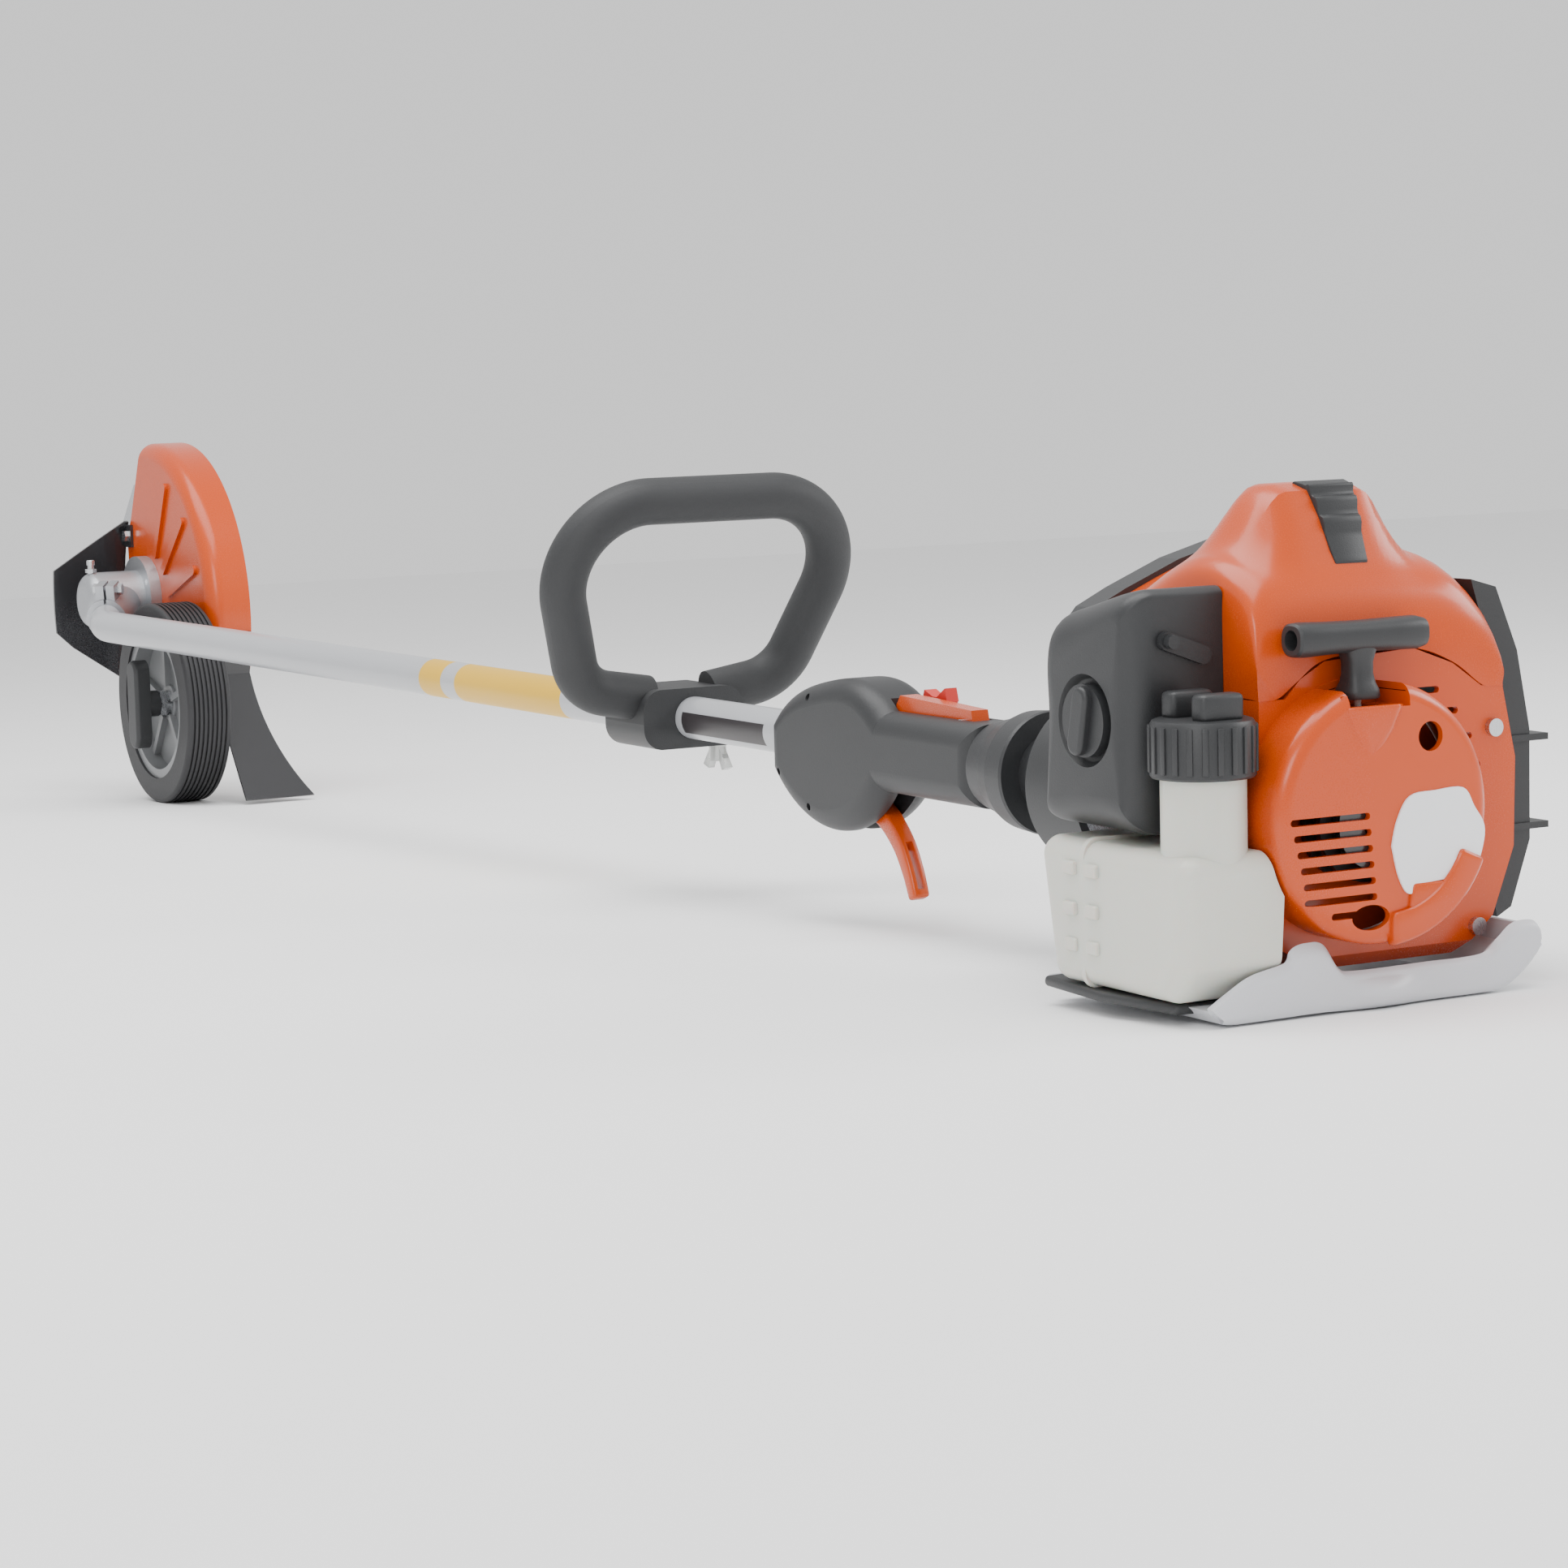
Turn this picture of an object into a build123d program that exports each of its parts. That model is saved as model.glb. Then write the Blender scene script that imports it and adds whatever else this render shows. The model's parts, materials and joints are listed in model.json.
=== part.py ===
"""Petrol lawn edger (stick edger): engine at the back, bent tube, upright blade under a half-round guard.

Millimetres. The machine is drawn along its tube: X runs back along the tube to the engine, Y to the
operator's right, Z up. Each piece is then tipped by the stance, which stands it on its wheel and skid.
"""
from build123d import *
from math import atan2, cos, degrees, radians, sin, tan
import os

os.makedirs("parts", exist_ok=True)

# Driving dimensions
tube_r = 12.0                     # main tube, 24 mm across
tube_wall = 1.5
tube_back_x = 25.0                # tube end inside the clutch housing
bend_x = -1342.0                  # corner of the tube bend
gear_x, gear_y, gear_z = -1400.0, 42.0, 16.0    # where the two gear axes cross
bend_r = 60.0
cable_r = 4.0
arbor_r = 5.0
blade_length, blade_width, blade_t = 203.0, 51.0, 3.0
blade_y = 73.5
blade_tilt = 137.0                # degrees from straight back
guard_x, guard_z, guard_r = -1397.0, 4.0, 134.0
guard_face_y, guard_open_y = 60.0, 93.0
wheel_x, wheel_z, wheel_r = -1290.0, -58.6, 77.0
wheel_y0, wheel_y1 = 20.0, 55.0
axle_r = 6.0
crank_throw = 14.0                # half of the stroke
bore_r = 17.0                     # cylinder bore, 34 mm across
cylinder_x = 150.0
fit = 0.05                        # radial running clearance
skin = 3.0                        # moulded cover wall
stance_angle = 2.0                # tube slopes down to the blade when the machine stands
middle_x, middle_y = -612.3, 12.5  # middle of the finished machine's box, once it stands
floor_z_at_wheel = wheel_z - wheel_r / cos(radians(stance_angle))
floor_drop = floor_z_at_wheel * cos(radians(stance_angle)) - wheel_x * sin(radians(stance_angle))

stance = Location((-middle_x, -middle_y, -floor_drop), (0, stance_angle, 0))


def section(x, y=0, z=0):
    """Plane across the tube, seen from behind: u is Y, v is Z, normal is +X."""
    return Plane(origin=(x, y, z), x_dir=(0, 1, 0), z_dir=(1, 0, 0))


def side(y, x=0, z=0):
    """Plane along the tube, seen from the left: u is X, v is Z, normal is -Y."""
    return Plane(origin=(x, y, z), x_dir=(1, 0, 0), z_dir=(0, -1, 0))


def level(z, x=0, y=0):
    """Level plane: u is X, v is Y, normal is +Z."""
    return Plane(origin=(x, y, z), x_dir=(1, 0, 0), z_dir=(0, 0, 1))


RIGHT = (0, 1, 0)


def write(piece, name):
    """Name a finished piece, tip it to the stance and write it."""
    piece.part = piece.part.moved(stance)
    piece.part.label = name
    export_step(piece.part, f"parts/{name}.step")


def ring(x0, x1, r_in, r_out, y=0, z=0):
    """Ring or disc about an axis along X."""
    with BuildPart() as body:
        with BuildSketch(section(x0, y, z)):
            Circle(r_out)
            if r_in > 0:
                Circle(r_in, mode=Mode.SUBTRACT)
        extrude(amount=x1 - x0)
    return body.part


def hub(y0, y1, r_in, r_out, x, z):
    """Ring or disc about an axis along Y."""
    with BuildPart() as body:
        with BuildSketch(side(y0, x, z)):
            Circle(r_out)
            if r_in > 0:
                Circle(r_in, mode=Mode.SUBTRACT)
        extrude(amount=y1 - y0, dir=RIGHT)
    return body.part


# ---------------------------------------------------------------- tube and drive line
corner = Vector(bend_x, 0, 0)
gear_point = Vector(gear_x, gear_y, gear_z)
into_case = (gear_point - corner).normalized()
gear_reach = (gear_point - corner).length
tube_end = 34.0                   # from the bend corner to the tube's end in the gear case


def on_input(distance):
    """Plane across the inclined input axis, at a distance past the bend corner."""
    return Plane(origin=corner + into_case * distance, x_dir=(0, 0, 1), z_dir=tuple(into_case))


with BuildLine() as tube_path:
    FilletPolyline((tube_back_x, 0, 0), tuple(corner), tuple(corner + into_case * tube_end), radius=bend_r)

with BuildPart() as shaft_tube:
    with BuildSketch(section(tube_back_x)):
        Circle(tube_r)
        Circle(tube_r - tube_wall, mode=Mode.SUBTRACT)
    sweep(path=tube_path.line)
write(shaft_tube, "shaft_tube")

bushing_xs = [-20, -330, -640, -950, -1250]
with BuildPart() as shaft_bushings:
    for x in bushing_xs:
        add(ring(x - 10, x + 10, cable_r + fit, tube_r - tube_wall))
write(shaft_bushings, "shaft_bushings")

cable_front_x = -1312.0
drum_hub_end = 27.0
with BuildPart() as drive_shaft:
    with BuildSketch(section(cable_front_x)):
        Circle(cable_r)
    extrude(amount=40 - cable_front_x)
write(drive_shaft, "drive_shaft")

pinion_tail = 28.0
with BuildLine() as link_path:
    FilletPolyline(
        (cable_front_x - 0.3, 0, 0), tuple(corner), tuple(corner + into_case * (pinion_tail - 0.3)), radius=bend_r
    )
with BuildPart() as flexible_link:
    with BuildSketch(section(cable_front_x - 0.3)):
        Circle(cable_r)
    sweep(path=link_path.line)
write(flexible_link, "flexible_link")

# ---------------------------------------------------------------- gear case
case_y0, case_y1 = 6.0, 56.0
case_r, flange_r, socket_r = 22.0, 33.0, 16.0
socket_from = 16.0

shaft_angle = into_case.get_angle(Vector(0, 1, 0))
pinion_teeth, gear_teeth = 12, 18
pinion_cone = degrees(atan2(sin(radians(shaft_angle)), gear_teeth / pinion_teeth + cos(radians(shaft_angle))))
gear_cone = shaft_angle - pinion_cone
cone_far, cone_near = 26.0, 16.0
cone_gap = 0.6                    # degrees left between the two tooth cones

with BuildPart() as gear_case:
    with BuildSketch(side(case_y0, gear_x, gear_z)):
        Circle(case_r)
    extrude(amount=case_y1 - case_y0, dir=RIGHT)
    fillet(gear_case.edges().filter_by(GeomType.CIRCLE).sort_by(Axis.Y)[0], 10)
    with BuildSketch(side(case_y1 - 5, gear_x, gear_z)):
        Circle(flange_r)
    extrude(amount=guard_face_y - case_y1 + 5, dir=RIGHT)
    with BuildSketch(on_input(socket_from)):
        Circle(socket_r)
    extrude(amount=gear_reach - socket_from - 12)
    with BuildSketch(on_input(socket_from + 2)):
        with Locations((socket_r + 3, 0)):
            Rectangle(15, 15)
    extrude(amount=16)
    add(hub(case_y0 + 5, 43, 0, cone_far * sin(radians(gear_cone)) + 2.2, gear_x, gear_z), mode=Mode.SUBTRACT)
    add(hub(43, guard_face_y + 1, 0, 16, gear_x, gear_z), mode=Mode.SUBTRACT)
    with BuildSketch(on_input(socket_from - 1)):
        Circle(tube_r)
    extrude(amount=tube_end - socket_from + 3, mode=Mode.SUBTRACT)
    with BuildSketch(on_input(tube_end + 1)):
        Circle(11.5)
    extrude(amount=gear_reach - tube_end - 14, mode=Mode.SUBTRACT)
    with BuildSketch(on_input(socket_from - 1)):
        with Locations((socket_r + 2, 0)):
            Rectangle(18, 2)
    extrude(amount=19.5, mode=Mode.SUBTRACT)
    with BuildSketch(Plane(origin=corner + into_case * 24, x_dir=(0, 0, 1), z_dir=tuple(on_input(0).y_dir))):
        with Locations((socket_r + 5.5, 0)):
            Circle(2.5)
    extrude(amount=12, both=True, mode=Mode.SUBTRACT)
    with Locations((gear_x, 14, gear_z + case_r)):
        Cylinder(2.5, 16, mode=Mode.SUBTRACT)
    with BuildSketch(side(guard_face_y + 1, gear_x, gear_z)):
        with PolarLocations(flange_r - 6, 3, start_angle=30):
            Circle(2.5)
    extrude(amount=-12, dir=RIGHT, mode=Mode.SUBTRACT)
write(gear_case, "gear_case")

with BuildPart() as clamp_bolt:
    with BuildSketch(Plane(origin=corner + into_case * 24, x_dir=(0, 0, 1), z_dir=tuple(on_input(0).y_dir))):
        with Locations((socket_r + 5.5, 0)):
            Circle(2.5)
    extrude(amount=8, both=True)
    for step in (7.5, -11.5):
        with BuildSketch(
            Plane(
                origin=corner + into_case * 24 + on_input(0).y_dir * step,
                x_dir=(0, 0, 1),
                z_dir=tuple(on_input(0).y_dir),
            )
        ):
            with Locations((socket_r + 5.5, 0)):
                RegularPolygon(4.6, 6)
        extrude(amount=4)

with BuildPart() as grease_nipple:
    with BuildSketch(level(gear_z + case_r - 4, gear_x, 14)):
        Circle(2.5)
    extrude(amount=10)
    with BuildSketch(level(gear_z + case_r, gear_x, 14)):
        RegularPolygon(4.5, 6)
    extrude(amount=3)
    with BuildSketch(level(gear_z + case_r + 6, gear_x, 14)):
        Circle(3.2)
    extrude(amount=4)
    fillet(grease_nipple.edges().filter_by(GeomType.CIRCLE).sort_by(Axis.Z)[-1], 1)

pinion_back = gear_reach - cone_far * cos(radians(pinion_cone))
with BuildPart() as pinion_bearing:
    with BuildSketch(on_input(tube_end + 1.2)):
        Circle(11.5)
        Circle(cable_r + 0.5 + fit, mode=Mode.SUBTRACT)
    extrude(amount=8)


def tooth_gaps(axis_plane, reach, cone, teeth, flip):
    """Tapered grooves, one between each pair of bevel teeth."""
    far, near = cone_far * cos(radians(cone)) + 0.2, cone_near * cos(radians(cone)) - 0.2
    outer = tan(radians(cone - cone_gap / 2))
    cuts = []
    for index in range(teeth):
        with BuildPart() as cut:
            with BuildSketch(axis_plane.offset(reach - flip * far)):
                with PolarLocations(far * outer, 1, start_angle=index * 360 / teeth):
                    RegularPolygon(1.7, 4)
            with BuildSketch(axis_plane.offset(reach - flip * near)):
                with PolarLocations(near * outer, 1, start_angle=index * 360 / teeth):
                    RegularPolygon(1.0, 4)
            loft()
        cuts.append(cut.part)
    return cuts


def bevel_blank(axis_plane, reach, cone, flip):
    """Cone frustum with a short boss on its wide side."""
    far, near = cone_far * cos(radians(cone)), cone_near * cos(radians(cone))
    outer = tan(radians(cone - cone_gap / 2))
    with BuildPart() as blank:
        with BuildSketch(axis_plane.offset(reach - flip * far)):
            Circle(far * outer)
        with BuildSketch(axis_plane.offset(reach - flip * near)):
            Circle(near * outer)
        loft()
        with BuildSketch(axis_plane.offset(reach - flip * far)):
            Circle(far * outer - 2)
        extrude(amount=-flip * 1.5)
    return blank.part


with BuildPart() as bevel_pinion:
    add(bevel_blank(on_input(0), gear_reach, pinion_cone, 1))
    for cut in tooth_gaps(on_input(0), gear_reach, pinion_cone, pinion_teeth, 1):
        add(cut, mode=Mode.SUBTRACT)
    with BuildSketch(on_input(pinion_tail)):
        Circle(cable_r + 0.5)
    extrude(amount=pinion_back - pinion_tail + 2)
write(bevel_pinion, "bevel_pinion")

arbor_plane = Plane(origin=(gear_x, 0, gear_z), x_dir=(1, 0, 0), z_dir=RIGHT)
with BuildPart() as bevel_gear:
    add(bevel_blank(arbor_plane, gear_y, gear_cone, 1))
    for cut in tooth_gaps(arbor_plane, gear_y, gear_cone, gear_teeth, 1):
        add(cut, mode=Mode.SUBTRACT)
    add(hub(0, 60, 0, arbor_r, gear_x, gear_z), mode=Mode.SUBTRACT)
write(bevel_gear, "bevel_gear")

blade_back = blade_y + blade_t
with BuildPart() as arbor:
    add(hub(12, 92, 0, arbor_r, gear_x, gear_z))
    add(hub(57.5, 60.5, 0, 8, gear_x, gear_z))
write(arbor, "arbor")

with BuildPart() as blade_fasteners:
    add(hub(60.5, blade_y, arbor_r, 14, gear_x, gear_z))
    add(hub(blade_back, blade_back + 3, arbor_r, 17, gear_x, gear_z))
    with BuildSketch(side(blade_back + 3, gear_x, gear_z)):
        RegularPolygon(9.5, 6)
        Circle(arbor_r, mode=Mode.SUBTRACT)
    extrude(amount=8, dir=RIGHT)
write(blade_fasteners, "blade_fasteners")

with BuildPart() as blade:
    with BuildSketch(side(blade_y, gear_x, gear_z)):
        Rectangle(blade_length, blade_width, rotation=blade_tilt)
        Circle(arbor_r, mode=Mode.SUBTRACT)
    extrude(amount=blade_t, dir=RIGHT)
write(blade, "blade")

# ---------------------------------------------------------------- guard, deflector and flap
guard_from, guard_to = -17.0, 92.0      # degrees up from straight back
sheet = 2.5


def rim_point(angle, radius=guard_r):
    """Point (x, z) on a circle about the guard's centre."""
    return guard_x + radius * cos(radians(angle)), guard_z + radius * sin(radians(angle))


guard_round = 12.0
with BuildPart() as guard_hollow:
    add(hub(guard_face_y + sheet, guard_open_y + 20, 0, guard_r - sheet, guard_x, guard_z))
    fillet(guard_hollow.edges().filter_by(GeomType.CIRCLE).sort_by(Axis.Y)[0], guard_round - sheet)

with BuildPart() as guard:
    with BuildSketch(side(guard_face_y)):
        with BuildLine():
            ThreePointArc(rim_point(guard_from), rim_point((guard_from + guard_to) / 2), rim_point(guard_to))
            Polyline(rim_point(guard_to), (-1430, 77), (-1440, 62), (-1438, 30), (-1400, -20), rim_point(guard_from))
        make_face()
    extrude(amount=guard_open_y - guard_face_y, dir=RIGHT)
    fillet(
        guard.edges().filter_by(GeomType.CIRCLE).filter_by(lambda e: abs(e.radius - guard_r) < 0.1)
        .sort_by(Axis.Y)[0],
        guard_round,
    )
    add(guard_hollow.part, mode=Mode.SUBTRACT)
    for angle in (20, 42, 64):
        with BuildSketch(side(guard_face_y, guard_x, guard_z)):
            with Locations(Location((0, 0), angle)):
                with Locations((82, 0)):
                    SlotOverall(66, 7)
        extrude(amount=-2.5, dir=RIGHT)
    add(hub(50, 70, 0, 20, gear_x, gear_z), mode=Mode.SUBTRACT)
    with BuildSketch(side(guard_face_y - 1, gear_x, gear_z)):
        with PolarLocations(flange_r - 6, 3, start_angle=30):
            Circle(2.5)
    extrude(amount=6, dir=RIGHT, mode=Mode.SUBTRACT)
    with BuildSketch(side(guard_face_y - 1)):
        with Locations((-1432, 64)):
            Circle(2.5)
    extrude(amount=6, dir=RIGHT, mode=Mode.SUBTRACT)
write(guard, "guard")

with BuildPart() as guard_bolts:
    with BuildSketch(side(case_y1 - 5, gear_x, gear_z)):
        with PolarLocations(flange_r - 6, 3, start_angle=30):
            Circle(2.5)
    extrude(amount=guard_face_y + sheet - case_y1 + 5 + 4, dir=RIGHT)
    with BuildSketch(side(guard_face_y + sheet, gear_x, gear_z)):
        with PolarLocations(flange_r - 6, 3, start_angle=30):
            RegularPolygon(4.5, 6)
    extrude(amount=3.5, dir=RIGHT)
    with BuildSketch(side(guard_face_y - sheet - 3.5)):
        with Locations((-1432, 64)):
            RegularPolygon(4.5, 6)
    extrude(amount=3.5, dir=RIGHT)
    with BuildSketch(side(guard_face_y - sheet)):
        with Locations((-1432, 64)):
            Circle(2.5)
    extrude(amount=2 * sheet + 4, dir=RIGHT)

plate_x, plate_top, plate_low = -1452.0, 76.0, -50.0
with BuildPart() as front_deflector:
    with BuildSketch(side(0)):
        with BuildLine():
            low = (plate_x + 16, plate_low)
            high = (plate_x + 14, plate_top)
            ThreePointArc(low, (plate_x, 10), high)
            Line(high, (high[0] + sheet, plate_top - 1))
            ThreePointArc((high[0] + sheet, plate_top - 1), (plate_x + sheet, 10), (low[0] + sheet, plate_low + 1))
            Line((low[0] + sheet, plate_low + 1), low)
        make_face()
    extrude(amount=guard_face_y, dir=RIGHT)
    with BuildSketch(section(plate_x - 20)):
        Polygon((0, -12), (0, 38), (guard_face_y, plate_top + 2), (guard_face_y, plate_low - 2), (48, plate_low), (12, -24),
                align=None)
    extrude(amount=60, mode=Mode.INTERSECT)
    with BuildSketch(side(guard_face_y - sheet)):
        with Locations((-1434, 64)):
            Rectangle(16, 18)
    extrude(amount=sheet, dir=RIGHT)
    with BuildSketch(side(guard_face_y - sheet - 1)):
        with Locations((-1432, 64)):
            Circle(2.5)
    extrude(amount=sheet + 2, dir=RIGHT, mode=Mode.SUBTRACT)
write(front_deflector, "front_deflector")

flap_t = 2.0
flap_foot = (-1203, -129.5)
flap_knee = (-1216, -112)
flap_step = (1.8, 0.9)            # the flap's thickness, as a step across it
with BuildPart() as rear_flap:
    with BuildSketch(side(40)):
        with BuildLine():
            root, root_out = rim_point(guard_from - 1), rim_point(guard_from - 1, guard_r + flap_t)
            ThreePointArc(rim_point(-4), rim_point(-10), root)
            Polyline(root, flap_knee, flap_foot)
            knee_out = (flap_knee[0] + flap_step[0], flap_knee[1] + flap_step[1])
            foot_out = (flap_foot[0] + flap_step[0], flap_foot[1] + flap_step[1])
            Polyline(flap_foot, foot_out, knee_out, root_out)
            ThreePointArc(root_out, rim_point(-10, guard_r + flap_t), rim_point(-4, guard_r + flap_t))
            Line(rim_point(-4, guard_r + flap_t), rim_point(-4))
        make_face()
    extrude(amount=90, dir=RIGHT)
    with BuildSketch(section(-1290)):
        with BuildLine():
            Polyline((123, -140), (59, -140), (59, -36), (63, -30), (63, 0), (92, 0), (92, -40))
            ThreePointArc((92, -40), (97, -92), (123, -140))
        make_face()
    extrude(amount=110, mode=Mode.INTERSECT)
write(rear_flap, "rear_flap")

# ---------------------------------------------------------------- wheel and its arm
arm_y0, arm_y1 = wheel_y1 + 1.2, wheel_y1 + 3.7
height_down, height_up = 18.0, 6.0      # wheel travel for cutting depth
with BuildPart() as wheel_arm:
    with BuildSketch(side(arm_y0)):
        with BuildLine():
            Polyline((gear_x + 20, gear_z - 12), (gear_x + 4, gear_z - 33), (wheel_x - 16, wheel_z - 34),
                     (wheel_x + 16, wheel_z - 34), (wheel_x + 16, wheel_z + 40), (wheel_x - 4, wheel_z + 50), close=True)
        make_face()
        with Locations((wheel_x, wheel_z + (height_up - height_down) / 2)):
            SlotOverall(height_down + height_up + 2 * axle_r + 0.4, 2 * axle_r + 0.4, rotation=90, mode=Mode.SUBTRACT)
    extrude(amount=arm_y1 - arm_y0, dir=RIGHT)
    with BuildSketch(side(arm_y0)):
        with Locations((gear_x + 20, gear_z - 36)):
            Rectangle(20, 16, rotation=-34)
    extrude(amount=guard_face_y - arm_y0, dir=RIGHT)
    add(hub(arm_y0 - 5, arm_y1 + 5, 0, flange_r, gear_x, gear_z), mode=Mode.SUBTRACT)
write(wheel_arm, "wheel_arm")

with BuildPart() as wheel_axle:
    add(hub(13, arm_y1 + 6, 0, axle_r, wheel_x, wheel_z))
    add(hub(wheel_y1 + 0.3, arm_y0, 0, 12, wheel_x, wheel_z))
    add(hub(arm_y1, arm_y1 + 1.2, 0, 11, wheel_x, wheel_z))
    with BuildSketch(side(wheel_y0 + 4, wheel_x, wheel_z)):
        RegularPolygon(10.5, 6)
    extrude(amount=8.7, dir=RIGHT)
write(wheel_axle, "wheel_axle")

tyre_in = 58.0
groove_count = 8
with BuildPart() as tyre:
    add(hub(wheel_y0, wheel_y1, tyre_in, wheel_r, wheel_x, wheel_z))
    fillet(tyre.edges().filter_by(GeomType.CIRCLE).filter_by(lambda e: e.radius > 70), 3)
    pitch = (wheel_y1 - wheel_y0 - 6) / groove_count
    for index in range(groove_count):
        y = wheel_y0 + 3 + pitch * (index + 0.5)
        add(hub(y - 0.8, y + 0.8, wheel_r - 1.6, wheel_r + 1, wheel_x, wheel_z), mode=Mode.SUBTRACT)
write(tyre, "tyre")

spoke_count = 5
with BuildPart() as wheel_hub:
    add(hub(wheel_y0 + 2, wheel_y1 - 2, 51, tyre_in, wheel_x, wheel_z))
    add(hub(wheel_y0 + 15, wheel_y0 + 20, 10, 52, wheel_x, wheel_z))
    add(hub(wheel_y0 + 13, wheel_y1, axle_r + fit, 14, wheel_x, wheel_z))
    with BuildSketch(side(wheel_y0 + 10, wheel_x, wheel_z)):
        with PolarLocations(12, spoke_count, start_angle=90):
            with Locations((20, 0)):
                Rectangle(40, 5)
    extrude(amount=8, dir=RIGHT)
    with BuildSketch(side(wheel_y0 + 9, wheel_x, wheel_z)):
        Circle(axle_r + fit)
    extrude(amount=12, dir=RIGHT, mode=Mode.SUBTRACT)
    with BuildSketch(side(wheel_y0 + 9, wheel_x, wheel_z)):
        Circle(13)
    extrude(amount=4, dir=RIGHT, mode=Mode.SUBTRACT)
write(wheel_hub, "wheel_hub")

with BuildPart() as wheel_knob:
    with BuildSketch(side(3, wheel_x, wheel_z)):
        SlotOverall(68, 20, rotation=90)
    extrude(amount=12, dir=RIGHT)
    fillet(wheel_knob.edges().group_by(Axis.Y)[0], 3)
    add(hub(15, wheel_y0 + 3.5, 0, 10, wheel_x, wheel_z))
    add(hub(13, wheel_y0 + 5, 0, axle_r + fit, wheel_x, wheel_z), mode=Mode.SUBTRACT)
write(wheel_knob, "wheel_knob")

# ---------------------------------------------------------------- loop handle
loop_x, loop_lean = -387.0, 22.0
bar_r = 13.0
clamp_half = 24.0
wing_x, wing_y = loop_x + 10, 22.0
loop_plane = Plane(origin=(loop_x, 0, 0), x_dir=(0, 1, 0),
                   z_dir=(cos(radians(loop_lean)), 0, -sin(radians(loop_lean))))
with BuildPart() as loop_handle:
    with BuildLine(loop_plane) as loop_path:
        FilletPolyline((-20, 12), (-64, 20), (-101, 134), (101, 134), (64, 20), (20, 12), radius=[30, 46, 46, 30])
    with BuildSketch(Plane(origin=loop_path.line @ 0, z_dir=loop_path.line % 0)):
        Circle(bar_r)
    sweep(path=loop_path.line)
    with BuildSketch(section(loop_x - clamp_half)):
        RectangleRounded(64, 34, 12)
    extrude(amount=2 * clamp_half)
    with BuildSketch(section(loop_x - 60)):
        Circle(tube_r + 0.1)
        with Locations((0, -30)):
            Rectangle(160, 56)
    extrude(amount=140, mode=Mode.SUBTRACT)
    with BuildSketch(level(-20, wing_x, wing_y)):
        Circle(2.6)
    extrude(amount=30, mode=Mode.SUBTRACT)
write(loop_handle, "loop_handle")

with BuildPart() as handle_clamp:
    with BuildSketch(section(loop_x - clamp_half)):
        RectangleRounded(64, 34, 12)
        with Locations((0, 20)):
            Rectangle(160, 44, mode=Mode.SUBTRACT)
        Circle(tube_r + 0.1, mode=Mode.SUBTRACT)
    extrude(amount=2 * clamp_half)
    with BuildSketch(level(-20, wing_x, wing_y)):
        Circle(2.6)
    extrude(amount=30, mode=Mode.SUBTRACT)
write(handle_clamp, "handle_clamp")

with BuildPart() as wing_nut:
    with BuildSketch(level(-27, wing_x, wing_y)):
        Circle(5)
    extrude(amount=9.7)
    with BuildSketch(side(wing_y - 2, wing_x)):
        Polygon((-14, -30), (-5, -19), (5, -19), (14, -30), (8, -32), (4, -25), (-4, -25), (-8, -32), align=None)
    extrude(amount=4, dir=RIGHT)
    with BuildSketch(level(-18, wing_x, wing_y)):
        Circle(2.5)
    extrude(amount=26)
write(wing_nut, "wing_nut")

# ---------------------------------------------------------------- throttle handle
grip_r, grip_back = 21.0, -38.0
wall = 3.0
trigger_pin = (-168.0, -27.0)
lock_pin = (-66.0, 20.0)
switch_x, switch_y = -118.0, 13.0
switch_seat, switch_pin_z = 10.0, 16.0


def handle_outline():
    """Side view of the throttle handle, front pistol housing and grip."""
    with BuildLine() as outline:
        Spline((-244, 8), (-225, 23), (-190, 33), (-158, 35), (-132, 24))
        Polyline((-132, 24), (-128, grip_r), (grip_back, grip_r), (grip_back, -grip_r), (-130, -grip_r))
        Spline((-130, -grip_r), (-150, -37), (-185, -46), (-222, -36), (-244, -18))
        Line((-244, -18), (-244, 8))
    return outline.line


def handle_half(sign):
    """One moulded half of the throttle handle, split on the tube's mid plane."""
    with BuildPart() as half:
        with BuildSketch(side(0)):
            with BuildLine():
                add(handle_outline())
            make_face()
        extrude(amount=20 * sign, dir=RIGHT)
        outer = half.edges().group_by(Axis.Y)[-1 if sign > 0 else 0]
        fillet(outer, 12)
        with BuildSketch(section(-260)):
            Circle(tube_r)
        extrude(amount=240, mode=Mode.SUBTRACT)
        with BuildSketch(side(-6)):
            with BuildLine():
                Polyline((-186, -13), (-112, -13), (-112, -60), (-186, -60), close=True)
            make_face()
        extrude(amount=12, dir=RIGHT, mode=Mode.SUBTRACT)
        with BuildSketch(side(-6)):
            Polygon((-136, 13), (-56, 13), (-56, 40), (-136, 40), align=None)
        extrude(amount=12, dir=RIGHT, mode=Mode.SUBTRACT)
        add(hub(-12, 12, 0, 2.5, *trigger_pin), mode=Mode.SUBTRACT)
        add(hub(-8, 8, 0, 1.5, *lock_pin), mode=Mode.SUBTRACT)
        if sign > 0:
            with BuildSketch(level(switch_seat, switch_x, switch_y)):
                RectangleRounded(28, 8, 2)
            extrude(amount=30, mode=Mode.SUBTRACT)
            add(hub(7, 19, 0, 1.5 + fit, switch_x, switch_pin_z), mode=Mode.SUBTRACT)
        for x, z in screw_spots:
            add(hub(-22, 22, 0, 2, x, z), mode=Mode.SUBTRACT)
    return half.part


screw_spots = ((-232, -18), (-200, 24), (-200, -34))
with BuildPart() as throttle_housing_left:
    add(handle_half(-1))
write(throttle_housing_left, "throttle_housing_left")

with BuildPart() as throttle_housing_right:
    add(handle_half(1))
write(throttle_housing_right, "throttle_housing_right")

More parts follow.
